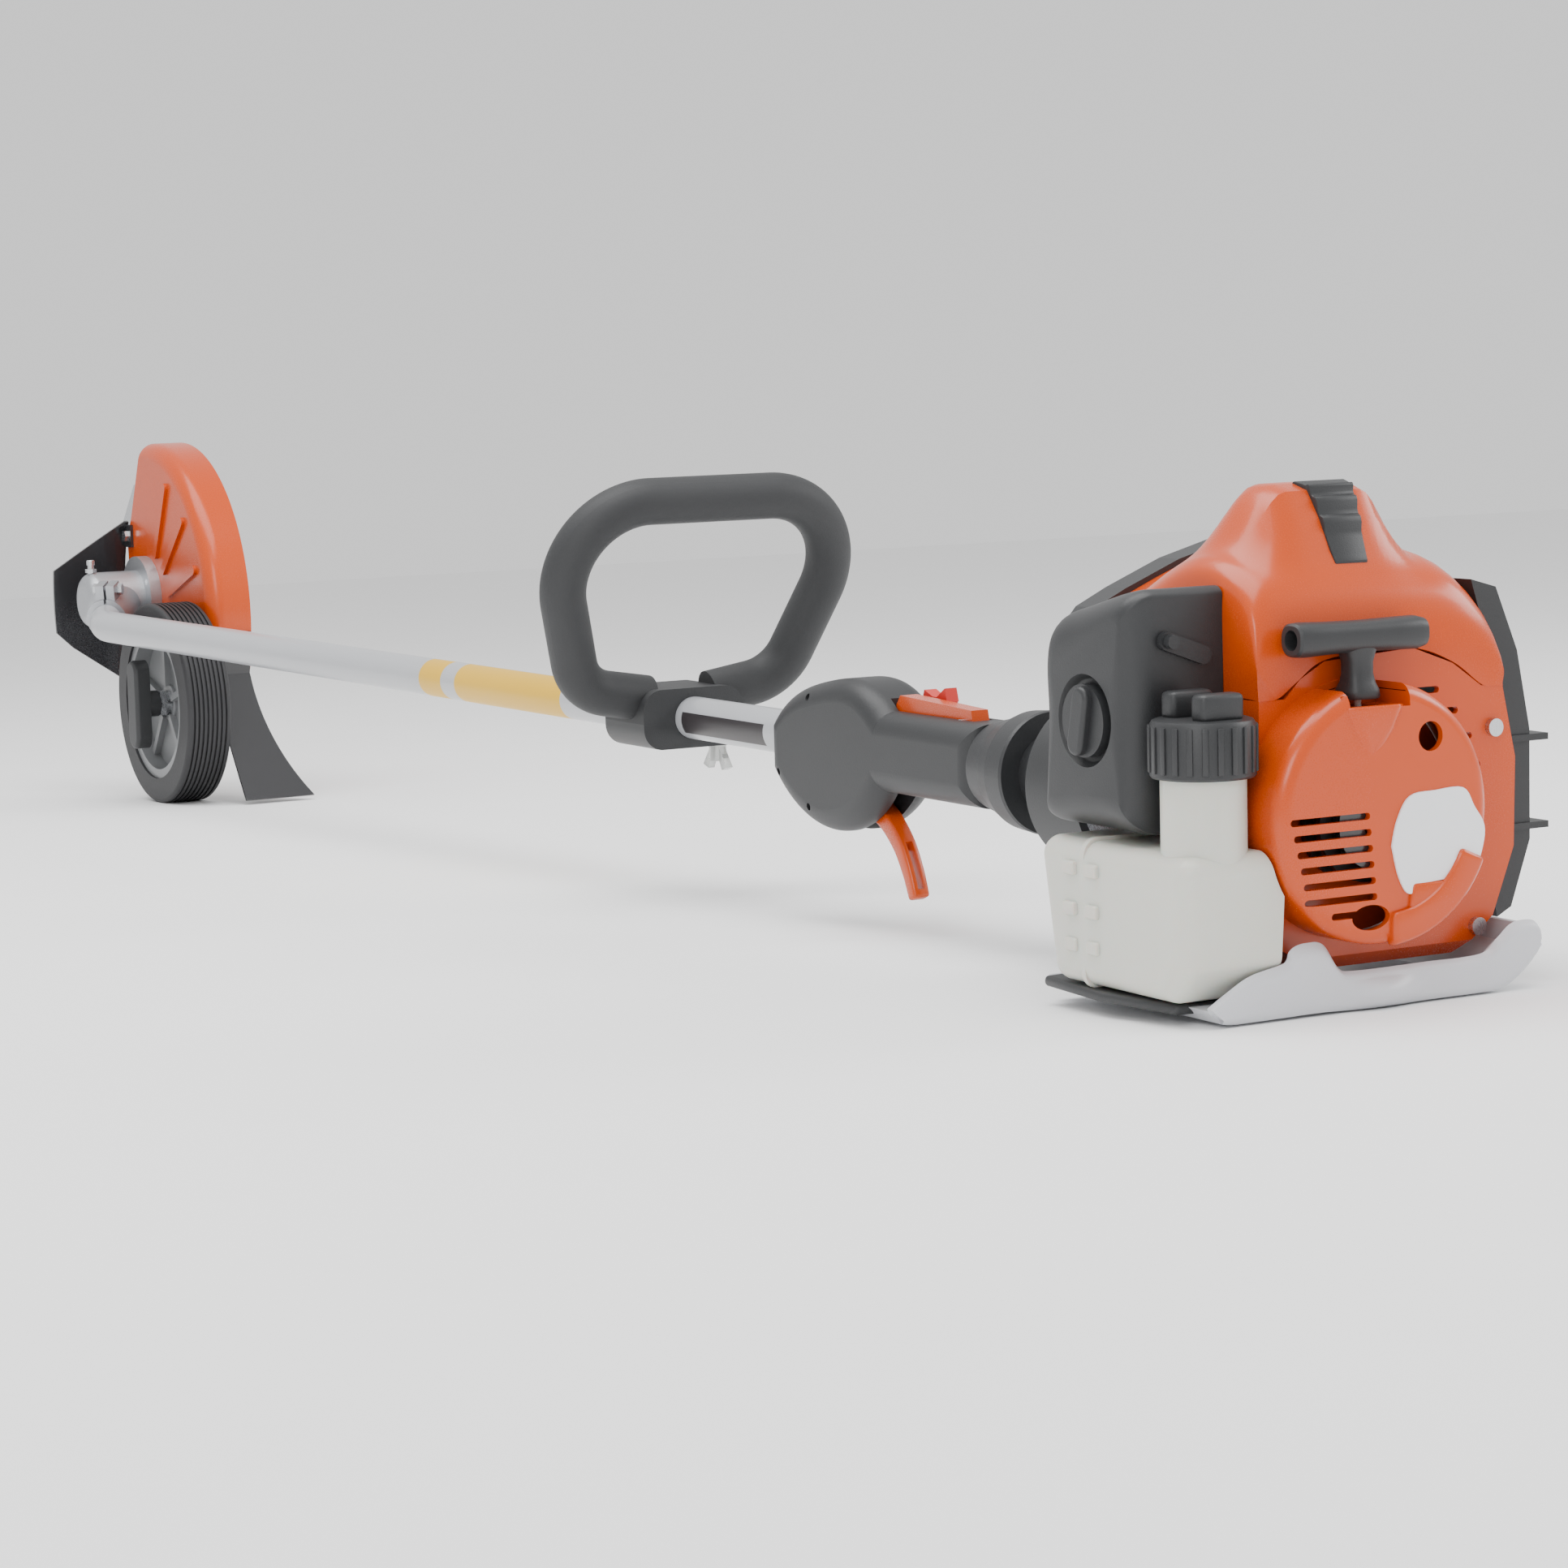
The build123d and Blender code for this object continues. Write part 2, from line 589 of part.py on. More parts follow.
with BuildPart() as handle_pins:
    for x, z in screw_spots:
        add(hub(-14, 14, 0, 2, x, z))
    add(hub(-12, 12, 0, 2.5, *trigger_pin))
    add(hub(-8, 8, 0, 1.5, *lock_pin))

with BuildPart() as trigger:
    with BuildSketch(side(-5)):
        with BuildLine():
            Spline((-174, -33), (-150, -44), (-133, -58), (-126, -76))
            ThreePointArc((-126, -76), (-121, -81), (-116, -77))
            Spline((-116, -77), (-120, -58), (-132, -40), (-150, -27))
            Polyline((-150, -27), (-150, -21), (-160, -18), (-174, -22), (-174, -33))
        make_face()
    extrude(amount=10, dir=RIGHT)
    add(hub(-12, 12, 0, 2.5 + fit, *trigger_pin), mode=Mode.SUBTRACT)
write(trigger, "throttle_trigger")

with BuildPart() as lockout:
    with BuildSketch(side(-5)):
        with BuildLine():
            Polyline((-132, 24), (-128, 29), (-60, 26), (-58, 17), (-72, 17), (-132, 17.5), close=True)
        make_face()
    extrude(amount=10, dir=RIGHT)
    add(hub(-12, 12, 0, 1.5 + fit, *lock_pin), mode=Mode.SUBTRACT)
write(lockout, "throttle_lockout")

with BuildPart() as stop_switch:
    with BuildSketch(level(switch_seat + 1.5, switch_x, switch_y)):
        RectangleRounded(25.2, 7.2, 1.8)
    extrude(amount=14.7)
    with BuildSketch(side(switch_y - 3.6, switch_x, 26)):
        Polygon((-12, 0), (-10, 5), (-2, 2), (2, 2), (10, 7), (12, 0), align=None)
    extrude(amount=7.2, dir=RIGHT)
    add(hub(7.4, 17.4, 0, 1.5, switch_x, switch_pin_z))
write(stop_switch, "stop_switch")

damper_outline = [(grip_back, tube_r), (grip_back, 22.5), (-24, 25), (-10, 29.5), (4, 30.5), (6, 30), (6, tube_r)]
with BuildPart() as vibration_collar:
    with BuildSketch(side(0)):
        Polygon(*damper_outline, align=None)
    revolve(axis=Axis.X)
write(vibration_collar, "vibration_collar")

# ---------------------------------------------------------------- clutch
with BuildPart() as clutch_housing:
    with BuildSketch(side(0)):
        Polygon((6, tube_r), (6, 20), (30, 20), (46, 42), (88, 42), (88, 38), (46, 38), (40, 32), (40, 14), (27, 14),
                (27, 8), (tube_back_x, 8), (tube_back_x, tube_r), align=None)
    revolve(axis=Axis.X)
write(clutch_housing, "clutch_housing")

with BuildPart() as clutch_drum:
    add(ring(drum_hub_end, 44, 0, 7))
    add(ring(44, 47, 0, 34.5))
    add(ring(47, 64, 31.5, 34.5))
    add(ring(drum_hub_end - 1, 40, 0, cable_r), mode=Mode.SUBTRACT)
write(clutch_drum, "clutch_drum")

with BuildPart() as clutch_shoes:
    add(ring(50, 62, 12, 30))
    add(ring(55, 57, 27.5, 31), mode=Mode.SUBTRACT)
    with Locations((56, 0, 0)):
        Box(20, 5, 80, mode=Mode.SUBTRACT)
    add(ring(55, 57, 27.5, 29.8))
write(clutch_shoes, "clutch_shoes")

# ---------------------------------------------------------------- crank, piston and cylinder
web_gap = 0.3
web_front = (cylinder_x - 16, cylinder_x - 8)
web_back = (cylinder_x + 8, cylinder_x + 16)
crank_end = 232.0
with BuildPart() as crankshaft:
    add(ring(49, 63, 0, 12))
    add(ring(63, web_front[0], 0, axle_r))
    add(ring(*web_front, 0, 24))
    add(ring(*web_back, 0, 24))
    add(ring(web_back[1], crank_end, 0, axle_r))
write(crankshaft, "crankshaft")

wrist_z = crank_throw + 42
with BuildPart() as connecting_rod:
    add(ring(cylinder_x - 4, cylinder_x + 4, 0, 9, z=crank_throw))
    add(ring(cylinder_x - 4, cylinder_x + 4, 0, 7.5, z=wrist_z))
    with Locations((cylinder_x, 0, (crank_throw + wrist_z) / 2)):
        Box(6, 9, wrist_z - crank_throw)
    add(ring(web_front[1] + web_gap, web_back[0] - web_gap, 0, 5, z=crank_throw))
    add(ring(cylinder_x - 6, cylinder_x + 6, 0, 4.5, z=wrist_z), mode=Mode.SUBTRACT)
write(connecting_rod, "connecting_rod")

piston_r = bore_r - 0.1
with BuildPart() as piston:
    with BuildSketch(level(wrist_z - 8, cylinder_x)):
        Circle(piston_r)
    extrude(amount=26)
    with BuildSketch(level(wrist_z - 9, cylinder_x)):
        Circle(piston_r - 3)
    extrude(amount=22, mode=Mode.SUBTRACT)
    with Locations((cylinder_x, 0, wrist_z)):
        Box(2 * piston_r - 6, 12, 9)
    with Locations((cylinder_x, 0, wrist_z)):
        Box(9, 30, 20, mode=Mode.SUBTRACT)
    add(ring(cylinder_x - 13, cylinder_x + 13, 0, 4.4, z=wrist_z))
    for z in (wrist_z + 12, wrist_z + 15):
        with BuildSketch(level(z, cylinder_x)):
            Circle(piston_r + 1)
            Circle(piston_r - 1.5, mode=Mode.SUBTRACT)
        extrude(amount=1.2, mode=Mode.SUBTRACT)
write(piston, "piston")

case_from, case_to = cylinder_x - 36, cylinder_x + 36
deck_z = 36.0
with BuildPart() as crankcase:
    add(ring(case_from, case_to, 0, 32))
    with Locations((cylinder_x, 0, deck_z / 2)):
        Box(60, 56, deck_z)
    with Locations((cylinder_x, 0, -30)):
        Box(60, 50, 20)
    with Locations((cylinder_x, 0, -58)):
        Box(44, 40, 36)
    with Locations((cylinder_x, 0, -60)):
        Box(34, 50, 30, mode=Mode.SUBTRACT)
    add(ring(web_front[0] - 3, web_back[1] + 3, 0, 25.5), mode=Mode.SUBTRACT)
    add(ring(case_from + 2, web_front[0] - 4, 0, 16), mode=Mode.SUBTRACT)
    add(ring(web_back[1] + 4, case_to - 2, 0, 16), mode=Mode.SUBTRACT)
    add(ring(case_from - 1, case_to + 1, 0, 8), mode=Mode.SUBTRACT)
    with BuildSketch(level(12, cylinder_x)):
        Circle(20)
    extrude(amount=deck_z, mode=Mode.SUBTRACT)
write(crankcase, "crankcase")

with BuildPart() as bearings:
    add(pinion_bearing.part)
    add(hub(case_y0 + 5.2, 16.5, arbor_r + fit, 14, gear_x, gear_z))
    add(hub(43.2, 54.0, arbor_r + fit, 15.9, gear_x, gear_z))
    add(ring(28, 36, 7 + fit, 14))
    add(ring(case_from + 2.5, case_from + 13.5, axle_r + fit, 16))
    add(ring(case_to - 13.5, case_to - 2.5, axle_r + fit, 16))
write(bearings, "bearings")

fin_count, fin_pitch, fin_t = 7, 6.0, 2.0
head_z = 77.0
with BuildPart() as cylinder:
    with BuildSketch(level(27, cylinder_x)):
        Circle(20)
    extrude(amount=head_z + 11 - 27)
    with Locations((cylinder_x, 0, deck_z + 2)):
        Box(60, 52, 4)
    with BuildSketch(level(deck_z + 8, cylinder_x)):
        RectangleRounded(66, 70, 8)
    extrude(amount=fin_t)
    for index in range(1, fin_count):
        with BuildSketch(level(deck_z + 8 + index * fin_pitch, cylinder_x)):
            RectangleRounded(66, 70, 8)
        extrude(amount=fin_t)
    with Locations((cylinder_x, 29, 57)):
        Box(26, 22, 25)
    with Locations((cylinder_x, -29, 46.5)):
        Box(24, 22, 21)
    with BuildSketch(level(26, cylinder_x)):
        Circle(bore_r)
    extrude(amount=head_z - 26, mode=Mode.SUBTRACT)
    add(hub(-45, 0, 0, 7, cylinder_x, 46), mode=Mode.SUBTRACT)
    add(hub(0, 45, 0, 8, cylinder_x, 56), mode=Mode.SUBTRACT)
    with BuildSketch(level(head_z - 1, cylinder_x)):
        Circle(5)
    extrude(amount=20, mode=Mode.SUBTRACT)
write(cylinder, "cylinder")

with BuildPart() as spark_plug:
    plug_steps = [(head_z + 1, 11, 5), (head_z + 11, 2, 7.5), (head_z + 13, 7, 8), (head_z + 20, 3, 4),
                  (head_z + 23, 4, 8)]
    for z, height, radius in plug_steps:
        with BuildSketch(level(z, cylinder_x)):
            Circle(radius)
        extrude(amount=height)
    with BuildSketch(section(cylinder_x, 0, head_z + 23)):
        Circle(3.5)
    extrude(amount=22)
write(spark_plug, "spark_plug")

# ---------------------------------------------------------------- flywheel and starter
fan_r, fan_blades = 40.0, 14
fan_from = 198.0
with BuildPart() as flywheel:
    add(ring(fan_from, fan_from + 5, axle_r, fan_r))
    add(ring(fan_from, crank_end, axle_r, 14))
    with BuildSketch(section(fan_from + 4)):
        with PolarLocations(24, fan_blades):
            with Locations((4, 0)):
                Rectangle(22, 2.4)
    extrude(amount=16)
    add(ring(fan_from - 2, fan_from + 30, fan_r, fan_r + 20), mode=Mode.SUBTRACT)
write(flywheel, "flywheel")

with BuildPart() as ignition_module:
    with BuildSketch(section(fan_from - 2)):
        with BuildLine():
            Polyline((-14, 56), (-14, fan_r + 3), (-10, fan_r + 1), (14, fan_r + 1), (18, fan_r + 3), (18, 56), close=True)
        make_face()
    extrude(amount=16)
write(ignition_module, "ignition_module")

pulley_from, pulley_to, pulley_r = 239.0, 253.0, 26.0
rope_x = (pulley_from + pulley_to) / 2
post_r = 5.0
with BuildPart() as rope_pulley:
    add(ring(pulley_from, pulley_to, post_r + fit, pulley_r))
    add(ring(rope_x - 4, rope_x + 4, 21, pulley_r + 1), mode=Mode.SUBTRACT)
write(rope_pulley, "rope_pulley")

with BuildPart() as recoil_spring:
    add(ring(pulley_to + 0.8, pulley_to + 5.8, 7, 20))
write(recoil_spring, "recoil_spring")

cover_x0, cover_x1 = 192.0, 236.0
boss_x1 = 262.0
boss_y, boss_z, boss_r = 3.0, 4.0, 57.0
seam = [(-45, 54), (-31, 54), (-23, 62), (-10, 69), (38, 72), (60, 64), (76, 53), (88, 52)]
low_edge = [(95, 20), (94, -20), (82, -50), (63, -66), (-14, -66), (-36, -54), (-45, -12)]
low_inner = [(-42, 50), (-29, 50), (-21, 58), (-9, 65.5), (37, 68.5), (58, 61), (74, 50), (85, 49),
             (92, 20), (91, -19), (79, -49), (62, -63), (-13, -63), (-34, -52), (-42, -12)]
slot_pitch, slot_rows = 7.0, 7
guide_top = 50.0
with BuildPart() as guide_block:
    add(ring(cover_x1 - 2, boss_x1 - 2, 0, boss_r - 1, boss_y, boss_z))
    with Locations(((cover_x1 + boss_x1) / 2, 0, guide_top)):
        Box(boss_x1 - cover_x1 - 4, 38, 12, mode=Mode.INTERSECT)

with BuildPart() as starter_housing:
    with BuildSketch(section(cover_x0)):
        Polygon(*seam, *low_edge, align=None)
    extrude(amount=cover_x1 - cover_x0)
    chamfer(starter_housing.faces().sort_by(Axis.X)[-1].edges().group_by(Axis.Z)[0], 6)
    with BuildSketch(section(cover_x1 - 1, boss_y, boss_z)):
        Circle(boss_r)
    extrude(amount=boss_x1 - cover_x1 + 1)
    fillet(starter_housing.edges().filter_by(GeomType.CIRCLE).sort_by(Axis.X)[-1], 7)
    with BuildSketch(section(cover_x0 - 1)):
        Polygon(*low_inner, align=None)
    extrude(amount=cover_x1 - cover_x0 + 1 - skin, mode=Mode.SUBTRACT)
    with BuildSketch(section(cover_x1 - skin - 1, boss_y, boss_z)):
        Circle(boss_r - skin)
    extrude(amount=boss_x1 - cover_x1 + 1, mode=Mode.SUBTRACT)
    add(ring(pulley_from - 1, boss_x1 - skin + 0.5, 0, post_r))
    add(guide_block.part)
    with Locations(((cover_x1 + boss_x1) / 2 + 2, 0, guide_top + 20)):
        Box(boss_x1 - cover_x1 + 2, 32, 40, mode=Mode.SUBTRACT)
    with BuildSketch(level(40, rope_x)):
        Circle(3)
    extrude(amount=40, mode=Mode.SUBTRACT)
    for row in range(slot_rows):
        z = 4 - row * slot_pitch
        half = 21 if row < slot_rows - 1 else 10
        with BuildSketch(section(boss_x1 - 12, -27 + row * 1.2, z)):
            SlotOverall(2 * half - row, 3)
        extrude(amount=30, mode=Mode.SUBTRACT)
    with BuildSketch(section(boss_x1 - 20, 27, 36)):
        Circle(6.5)
    extrude(amount=40, mode=Mode.SUBTRACT)
    with BuildSketch(section(boss_x1 - 20, -6, -40)):
        Ellipse(10, 5.5)
    extrude(amount=40, mode=Mode.SUBTRACT)
    for row in range(6):
        angle = radians(52 - row * 13)
        with BuildSketch(section(cover_x1 - 20, boss_y + 68 * cos(angle), boss_z + 62 * sin(angle))):
            SlotOverall(15 - row, 3)
        extrude(amount=30, mode=Mode.SUBTRACT)
write(starter_housing, "starter_housing")

with BuildPart() as badge:
    with BuildSketch(section(boss_x1, 29, -8)):
        with BuildLine():
            Polyline((-24, -2), (-15, 19), (16, 21), (24, 2), (18, -22), (4, -20), (2, -26), (-14, -26), close=True)
        make_face()
    extrude(amount=0.8)
write(badge, "badge")

rope_r = 1.75
rope_low = 27.5
handle_foot = 53.0
with BuildPart() as starter_rope:
    with BuildSketch(level(rope_low, rope_x)):
        Circle(rope_r)
    extrude(amount=handle_foot - rope_low)
write(starter_rope, "starter_rope")

grip_z = 80.0
with BuildPart() as starter_handle:
    with BuildSketch(level(handle_foot, rope_x)):
        RectangleRounded(18, 17, 4)
    with BuildSketch(level(grip_z - 10, rope_x)):
        RectangleRounded(12, 13, 4)
    loft()
    with BuildSketch(level(grip_z - 10, rope_x)):
        RectangleRounded(12, 13, 4)
    extrude(amount=8)
    with BuildSketch(side(-35, rope_x, grip_z)):
        RectangleRounded(17, 14, 6)
    extrude(amount=70, dir=RIGHT)
    with BuildSketch(side(-36, rope_x, grip_z)):
        Circle(3.5)
    extrude(amount=12, dir=RIGHT, mode=Mode.SUBTRACT)
write(starter_handle, "starter_handle")

# ---------------------------------------------------------------- upper cover
top_x0 = 100.0
crown_front = [(88, 72), (80, 95), (66, 108), (44, 113), (10, 104), (-20, 92), (-36, 84), (-45, 74)]
crown_full = [(88, 74), (80, 98), (66, 111), (44, 115), (10, 116), (-30, 116), (-41, 112), (-45, 104)]
crown_foot = 52.0                    # the rear of the crown draws down towards this height
rear_stations = ((190, 1.0), (212, 0.94), (227, 0.78), (cover_x1, 0.45))
hump_across = [(-36, 90), (-36, 112), (-9, 143), (35, 143), (55, 110), (55, 90)]
hump_along = [(146, 90), (146, 106), (184, 141), (206, 143), (224, 106), (224, 90)]


def crown_section(x, crown, base, share, inset):
    """One cross section of the upper cover, or of its hollow when inset is the wall."""
    middle = 20
    points = []
    for y, z in crown:
        towards_middle = inset if y < middle else -inset
        points.append((y + towards_middle, crown_foot + (z - crown_foot) * share - inset))
    with BuildSketch(section(x)) as outline:
        Polygon(*base, *points, align=None)
    return outline.sketch


def crown_block(base, inset):
    """The upper cover's body without the hump."""
    front = top_x0 - (1 if inset else 0)
    slices = [crown_section(front, crown_front, base, 1.0, inset)]
    for x, share in rear_stations:
        at_x = x - inset if x == cover_x1 else x
        slices.append(crown_section(at_x, crown_full, base, share, inset))
    with BuildPart() as block:
        loft(slices, ruled=True)
    return block.part


def hump_block(inset):
    """The raised hump that carries the ribbed insert."""
    with BuildPart() as block:
        with BuildSketch(section(hump_along[0][0])):
            Polygon(*hump_across, align=None)
            if inset:
                offset(amount=-inset, mode=Mode.REPLACE)
        extrude(amount=hump_along[-1][0] - hump_along[0][0])
        with BuildSketch(side(-60)):
            Polygon(*hump_along, align=None)
            if inset:
                offset(amount=-inset, mode=Mode.REPLACE)
        extrude(amount=200, dir=RIGHT, mode=Mode.INTERSECT)
    return block.part


with BuildPart() as top_cover:
    add(crown_block(seam, 0))
    add(hump_block(0))
    add(crown_block([(-42, 30), (85, 30)], skin), mode=Mode.SUBTRACT)
    add(hump_block(skin), mode=Mode.SUBTRACT)
write(top_cover, "top_cover")

slope_top, slope_low = Vector(206, 0, 143), Vector(224, 0, 106)
slope_down = (slope_low - slope_top).normalized()
slope_plane = Plane(origin=slope_top, x_dir=RIGHT, z_dir=slope_down.cross(Vector(0, 1, 0)))
with BuildPart() as cover_insert:
    with BuildSketch(slope_plane.offset(0.1)):
        Polygon((3, 0), (31, 0), (25, -30), (8, -30), align=None)
    extrude(amount=2.5)
    for step in (8, 14, 20):
        rib = slope_top + slope_down * step
        add(hub(10, 23, 0, 1.4, rib.X + 2.2, rib.Z + 1.1))
write(cover_insert, "cover_insert")

strap_x0, strap_x1 = 84.0, top_x0
strap_outer = [(90, 72), (82, 97), (67, 111), (44, 116), (10, 107), (-20, 95), (-37, 87), (-47, 76)]
strap_inner = [(87, 70), (79.5, 95), (65.5, 108), (44, 113), (10, 104), (-20, 92), (-35, 84), (-44, 74)]
with BuildPart() as front_strap:
    with BuildSketch(section(strap_x0)):
        Polygon((-45, 54), (90, 52), *strap_outer, align=None)
        Polygon((-42, 40), (87, 40), *strap_inner, align=None, mode=Mode.SUBTRACT)
    extrude(amount=strap_x1 - strap_x0)
    with BuildSketch(section(strap_x0)):
        Polygon((-43, 60), (86, 60), *strap_inner, align=None)
    extrude(amount=2.5)
write(front_strap, "front_shroud")

# ---------------------------------------------------------------- carburettor and air filter
filter_x0, filter_x1 = 138.0, 211.0
filter_y0, filter_y1 = -95.0, -45.0
filter_z0, filter_z1 = -3.0, 98.0
knob_x, knob_z = 177.0, 45.0
choke_y, choke_z = -58.0, 74.0
primer_y, primer_z = -55.0, 41.0
with BuildPart() as carburettor:
    with Locations((cylinder_x, -42.5, 41)):
        Box(30, 5, 24)
    with Locations((cylinder_x + 2, -54.5, 41)):
        Box(22, 21, 26)
    add(hub(-69, -64, 0, 9.5, cylinder_x + 2, 46))
    with BuildSketch(level(54, cylinder_x + 2, -56)):
        Circle(6)
    extrude(amount=7)
    add(ring(filter_x0 - 8, cylinder_x - 8, 0, 11, primer_y, primer_z))
    add(ring(filter_x0 - 9, filter_x0 - 2, 0, 9, primer_y, primer_z), mode=Mode.SUBTRACT)
    with BuildSketch(side(-70, (filter_x0 + filter_x1) / 2, 46)):
        RectangleRounded(filter_x1 - filter_x0 - 14, 74, 14)
    extrude(amount=2, dir=RIGHT)
    add(hub(-84, -69, 0, 4, knob_x, knob_z))
    add(hub(-72, -30, 0, 7, cylinder_x, 46), mode=Mode.SUBTRACT)
write(carburettor, "carburettor")

with BuildPart() as filter_element:
    with Locations(((filter_x0 + filter_x1) / 2, -75, 46)):
        Box(58, 10, 76)
    add(hub(-90, -60, 0, 4.5, knob_x, knob_z), mode=Mode.SUBTRACT)
write(filter_element, "filter_element")


def filter_block(inset):
    """Air filter cover's rounded block, or its hollow when inset is the wall."""
    y0 = filter_y0 + inset
    with BuildPart() as block:
        with BuildSketch(side(y0)):
            with BuildLine():
                FilletPolyline(
                    (filter_x0 + inset, filter_z0 + inset),
                    (filter_x0 + inset, 84 - inset),
                    (filter_x0 + 18, 95 - inset),
                    (filter_x1 - inset, filter_z1 + 4 - inset),
                    (filter_x1 - inset, filter_z0 + inset),
                    radius=10 - inset,
                    close=True,
                )
            make_face()
        extrude(amount=filter_y1 - y0 + (1 if inset else 0), dir=RIGHT)
        fillet(block.edges().group_by(Axis.Y)[0], 9 - inset)
    return block.part


with BuildPart() as filter_cover:
    add(filter_block(0))
    add(filter_block(skin), mode=Mode.SUBTRACT)
    add(hub(filter_y0 - 1, filter_y0 + 8, 0, 20, knob_x, knob_z))
    add(hub(filter_y0 - 2, filter_y0 + 5, 0, 18, knob_x, knob_z), mode=Mode.SUBTRACT)
    add(hub(filter_y0 - 1, filter_y0 + 20, 0, 5, knob_x, knob_z), mode=Mode.SUBTRACT)
    add(ring(filter_x0 - 1, filter_x0 + skin + 7, 0, 12, primer_y, primer_z), mode=Mode.SUBTRACT)
    with Locations((filter_x0 + 4, primer_y + 10, primer_z)):
        Box(12, 20, 24, mode=Mode.SUBTRACT)
    add(ring(filter_x1 - skin - 1, filter_x1 + 1, 0, 1.5 + fit, choke_y, choke_z), mode=Mode.SUBTRACT)
write(filter_cover, "filter_cover")

with BuildPart() as filter_knob:
    add(hub(filter_y0 - 1, filter_y0 + 4.5, 0, 16, knob_x, knob_z))
    with BuildSketch(side(filter_y0 - 5, knob_x, knob_z)):
        SlotOverall(31, 11, rotation=78)
    extrude(amount=5, dir=RIGHT)
    fillet(filter_knob.edges().group_by(Axis.Y)[0], 2)
    add(hub(filter_y0 + 4, -84.5, 0, 4.5, knob_x, knob_z))
write(filter_knob, "filter_knob")

with BuildPart() as choke_lever:
    with BuildSketch(section(filter_x1 + 0.4, choke_y, choke_z)):
        with Locations((-9, 3)):
            SlotOverall(28, 8, rotation=-20)
    extrude(amount=3)
    add(ring(filter_x1 - skin - 0.5, filter_x1 + 1, 0, 1.5, choke_y, choke_z))
    with BuildSketch(section(filter_x1 + 3.4, choke_y - 18, choke_z + 6.4)):
        Circle(3)
    extrude(amount=4)
write(choke_lever, "choke_lever")

with BuildPart() as primer_bulb:
    with BuildSketch(section(filter_x0 - 14, primer_y, primer_z)):
        Circle(8.7)
    extrude(amount=9)
    fillet(primer_bulb.edges().group_by(Axis.X)[0], 5)
write(primer_bulb, "primer_bulb")

# ---------------------------------------------------------------- muffler side
with BuildPart() as muffler:
    with Locations((cylinder_x, 62, 48)):
        Box(70, 36, 68)
    fillet(muffler.edges().filter_by(Axis.X), 8)
    with Locations((cylinder_x, 42, 56)):
        Box(26, 4, 24)
write(muffler, "muffler")

grille_x0, grille_x1 = 100.0, 222.0
grille_out = [(90, 74), (82, 99), (96, 95), (108, 66), (115, 30), (115, -20), (104, -50), (96, -54), (94, -46),
              (97, -20), (98, 20), (91, 52)]
with BuildPart() as muffler_guard:
    with BuildSketch(section(grille_x0)):
        Polygon(*grille_out, align=None)
    extrude(amount=grille_x1 - grille_x0)
    with BuildSketch(section(grille_x0 - 1)):
        Polygon((91, 76), (86, 96), (94, 92), (105, 65), (112, 29), (112, -19), (102, -47), (98.5, -48), (100, -20),
                (101, 20), (94, 52), align=None)
    extrude(amount=grille_x1 - grille_x0 + 1 - skin, mode=Mode.SUBTRACT)
    for z in (78, 66, 54, 42, 30, 18, -6, -18, -30, -42):
        with BuildSketch(side(94, (grille_x0 + grille_x1) / 2, z)):
            with GridLocations(34, 1, 3, 1):
                SlotOverall(28, 6)
        extrude(amount=40, dir=RIGHT, mode=Mode.SUBTRACT)
    for z in (26, -14):
        with Locations((grille_x1 - 6, 114, z)):
            Box(14, 22, 3)
write(muffler_guard, "muffler_guard")

# ---------------------------------------------------------------- tank and skid
tank_x0, tank_x1, tank_y0, tank_y1, tank_z0, tank_z1 = 138.0, 256.0, -97.0, -46.0, -72.0, -8.0
neck_x, neck_y, neck_r, neck_top = 235.5, -74.0, 18.5, 36.0
tank_wall = 2.5


def tank_block(inset):
    """Fuel tank's outer or inner body."""
    with BuildPart() as block:
        with BuildSketch(side(tank_y0 + inset)):
            Polygon((tank_x0 + inset, tank_z1 - inset), (tank_x1 - inset, tank_z1 - inset),
                    (tank_x1 - 4 - inset, tank_z0 + 16), (tank_x1 - 16, tank_z0 + inset),
                    (tank_x0 + 12 + inset, tank_z0 + inset), align=None)
        extrude(amount=tank_y1 - tank_y0 - 2 * inset, dir=RIGHT)
        fillet(block.edges().filter_by(Axis.Y), 8 - inset)
        fillet(block.edges().group_by(Axis.Y)[0], 9 - inset)
        with BuildSketch(level(tank_z1 - 12, neck_x, neck_y)):
            Circle(neck_r - inset)
        extrude(amount=neck_top - tank_z1 + 12 + (1 if inset else 0))
        add(ring(cover_x1 - 1, boss_x1 + 2, 0, boss_r + 1.5 + inset, boss_y, boss_z), mode=Mode.SUBTRACT)
    return block.part


seam_x = 176.0
with BuildPart() as fuel_tank:
    add(tank_block(0))
    with BuildSketch(section(seam_x - 1.5, (tank_y0 + tank_y1) / 2, (tank_z0 + tank_z1) / 2)):
        RectangleRounded(tank_y1 - tank_y0, tank_z1 - tank_z0 + 3, 8)
    extrude(amount=3)
    add(tank_block(tank_wall), mode=Mode.SUBTRACT)
write(fuel_tank, "fuel_tank")

with BuildPart() as fuel_cap:
    with BuildSketch(level(neck_top - 12, neck_x, neck_y)):
        Circle(23)
    extrude(amount=25)
    fillet(fuel_cap.edges().group_by(Axis.Z)[-1], 2)
    with BuildSketch(level(neck_top - 13, neck_x, neck_y)):
        Circle(neck_r + 0.5)
    extrude(amount=13.5, mode=Mode.SUBTRACT)
    for x in (-11, 11):
        with BuildSketch(level(neck_top + 12, neck_x + x, neck_y)):
            RectangleRounded(10, 20, 4)
        extrude(amount=12)
write(fuel_cap, "fuel_cap")

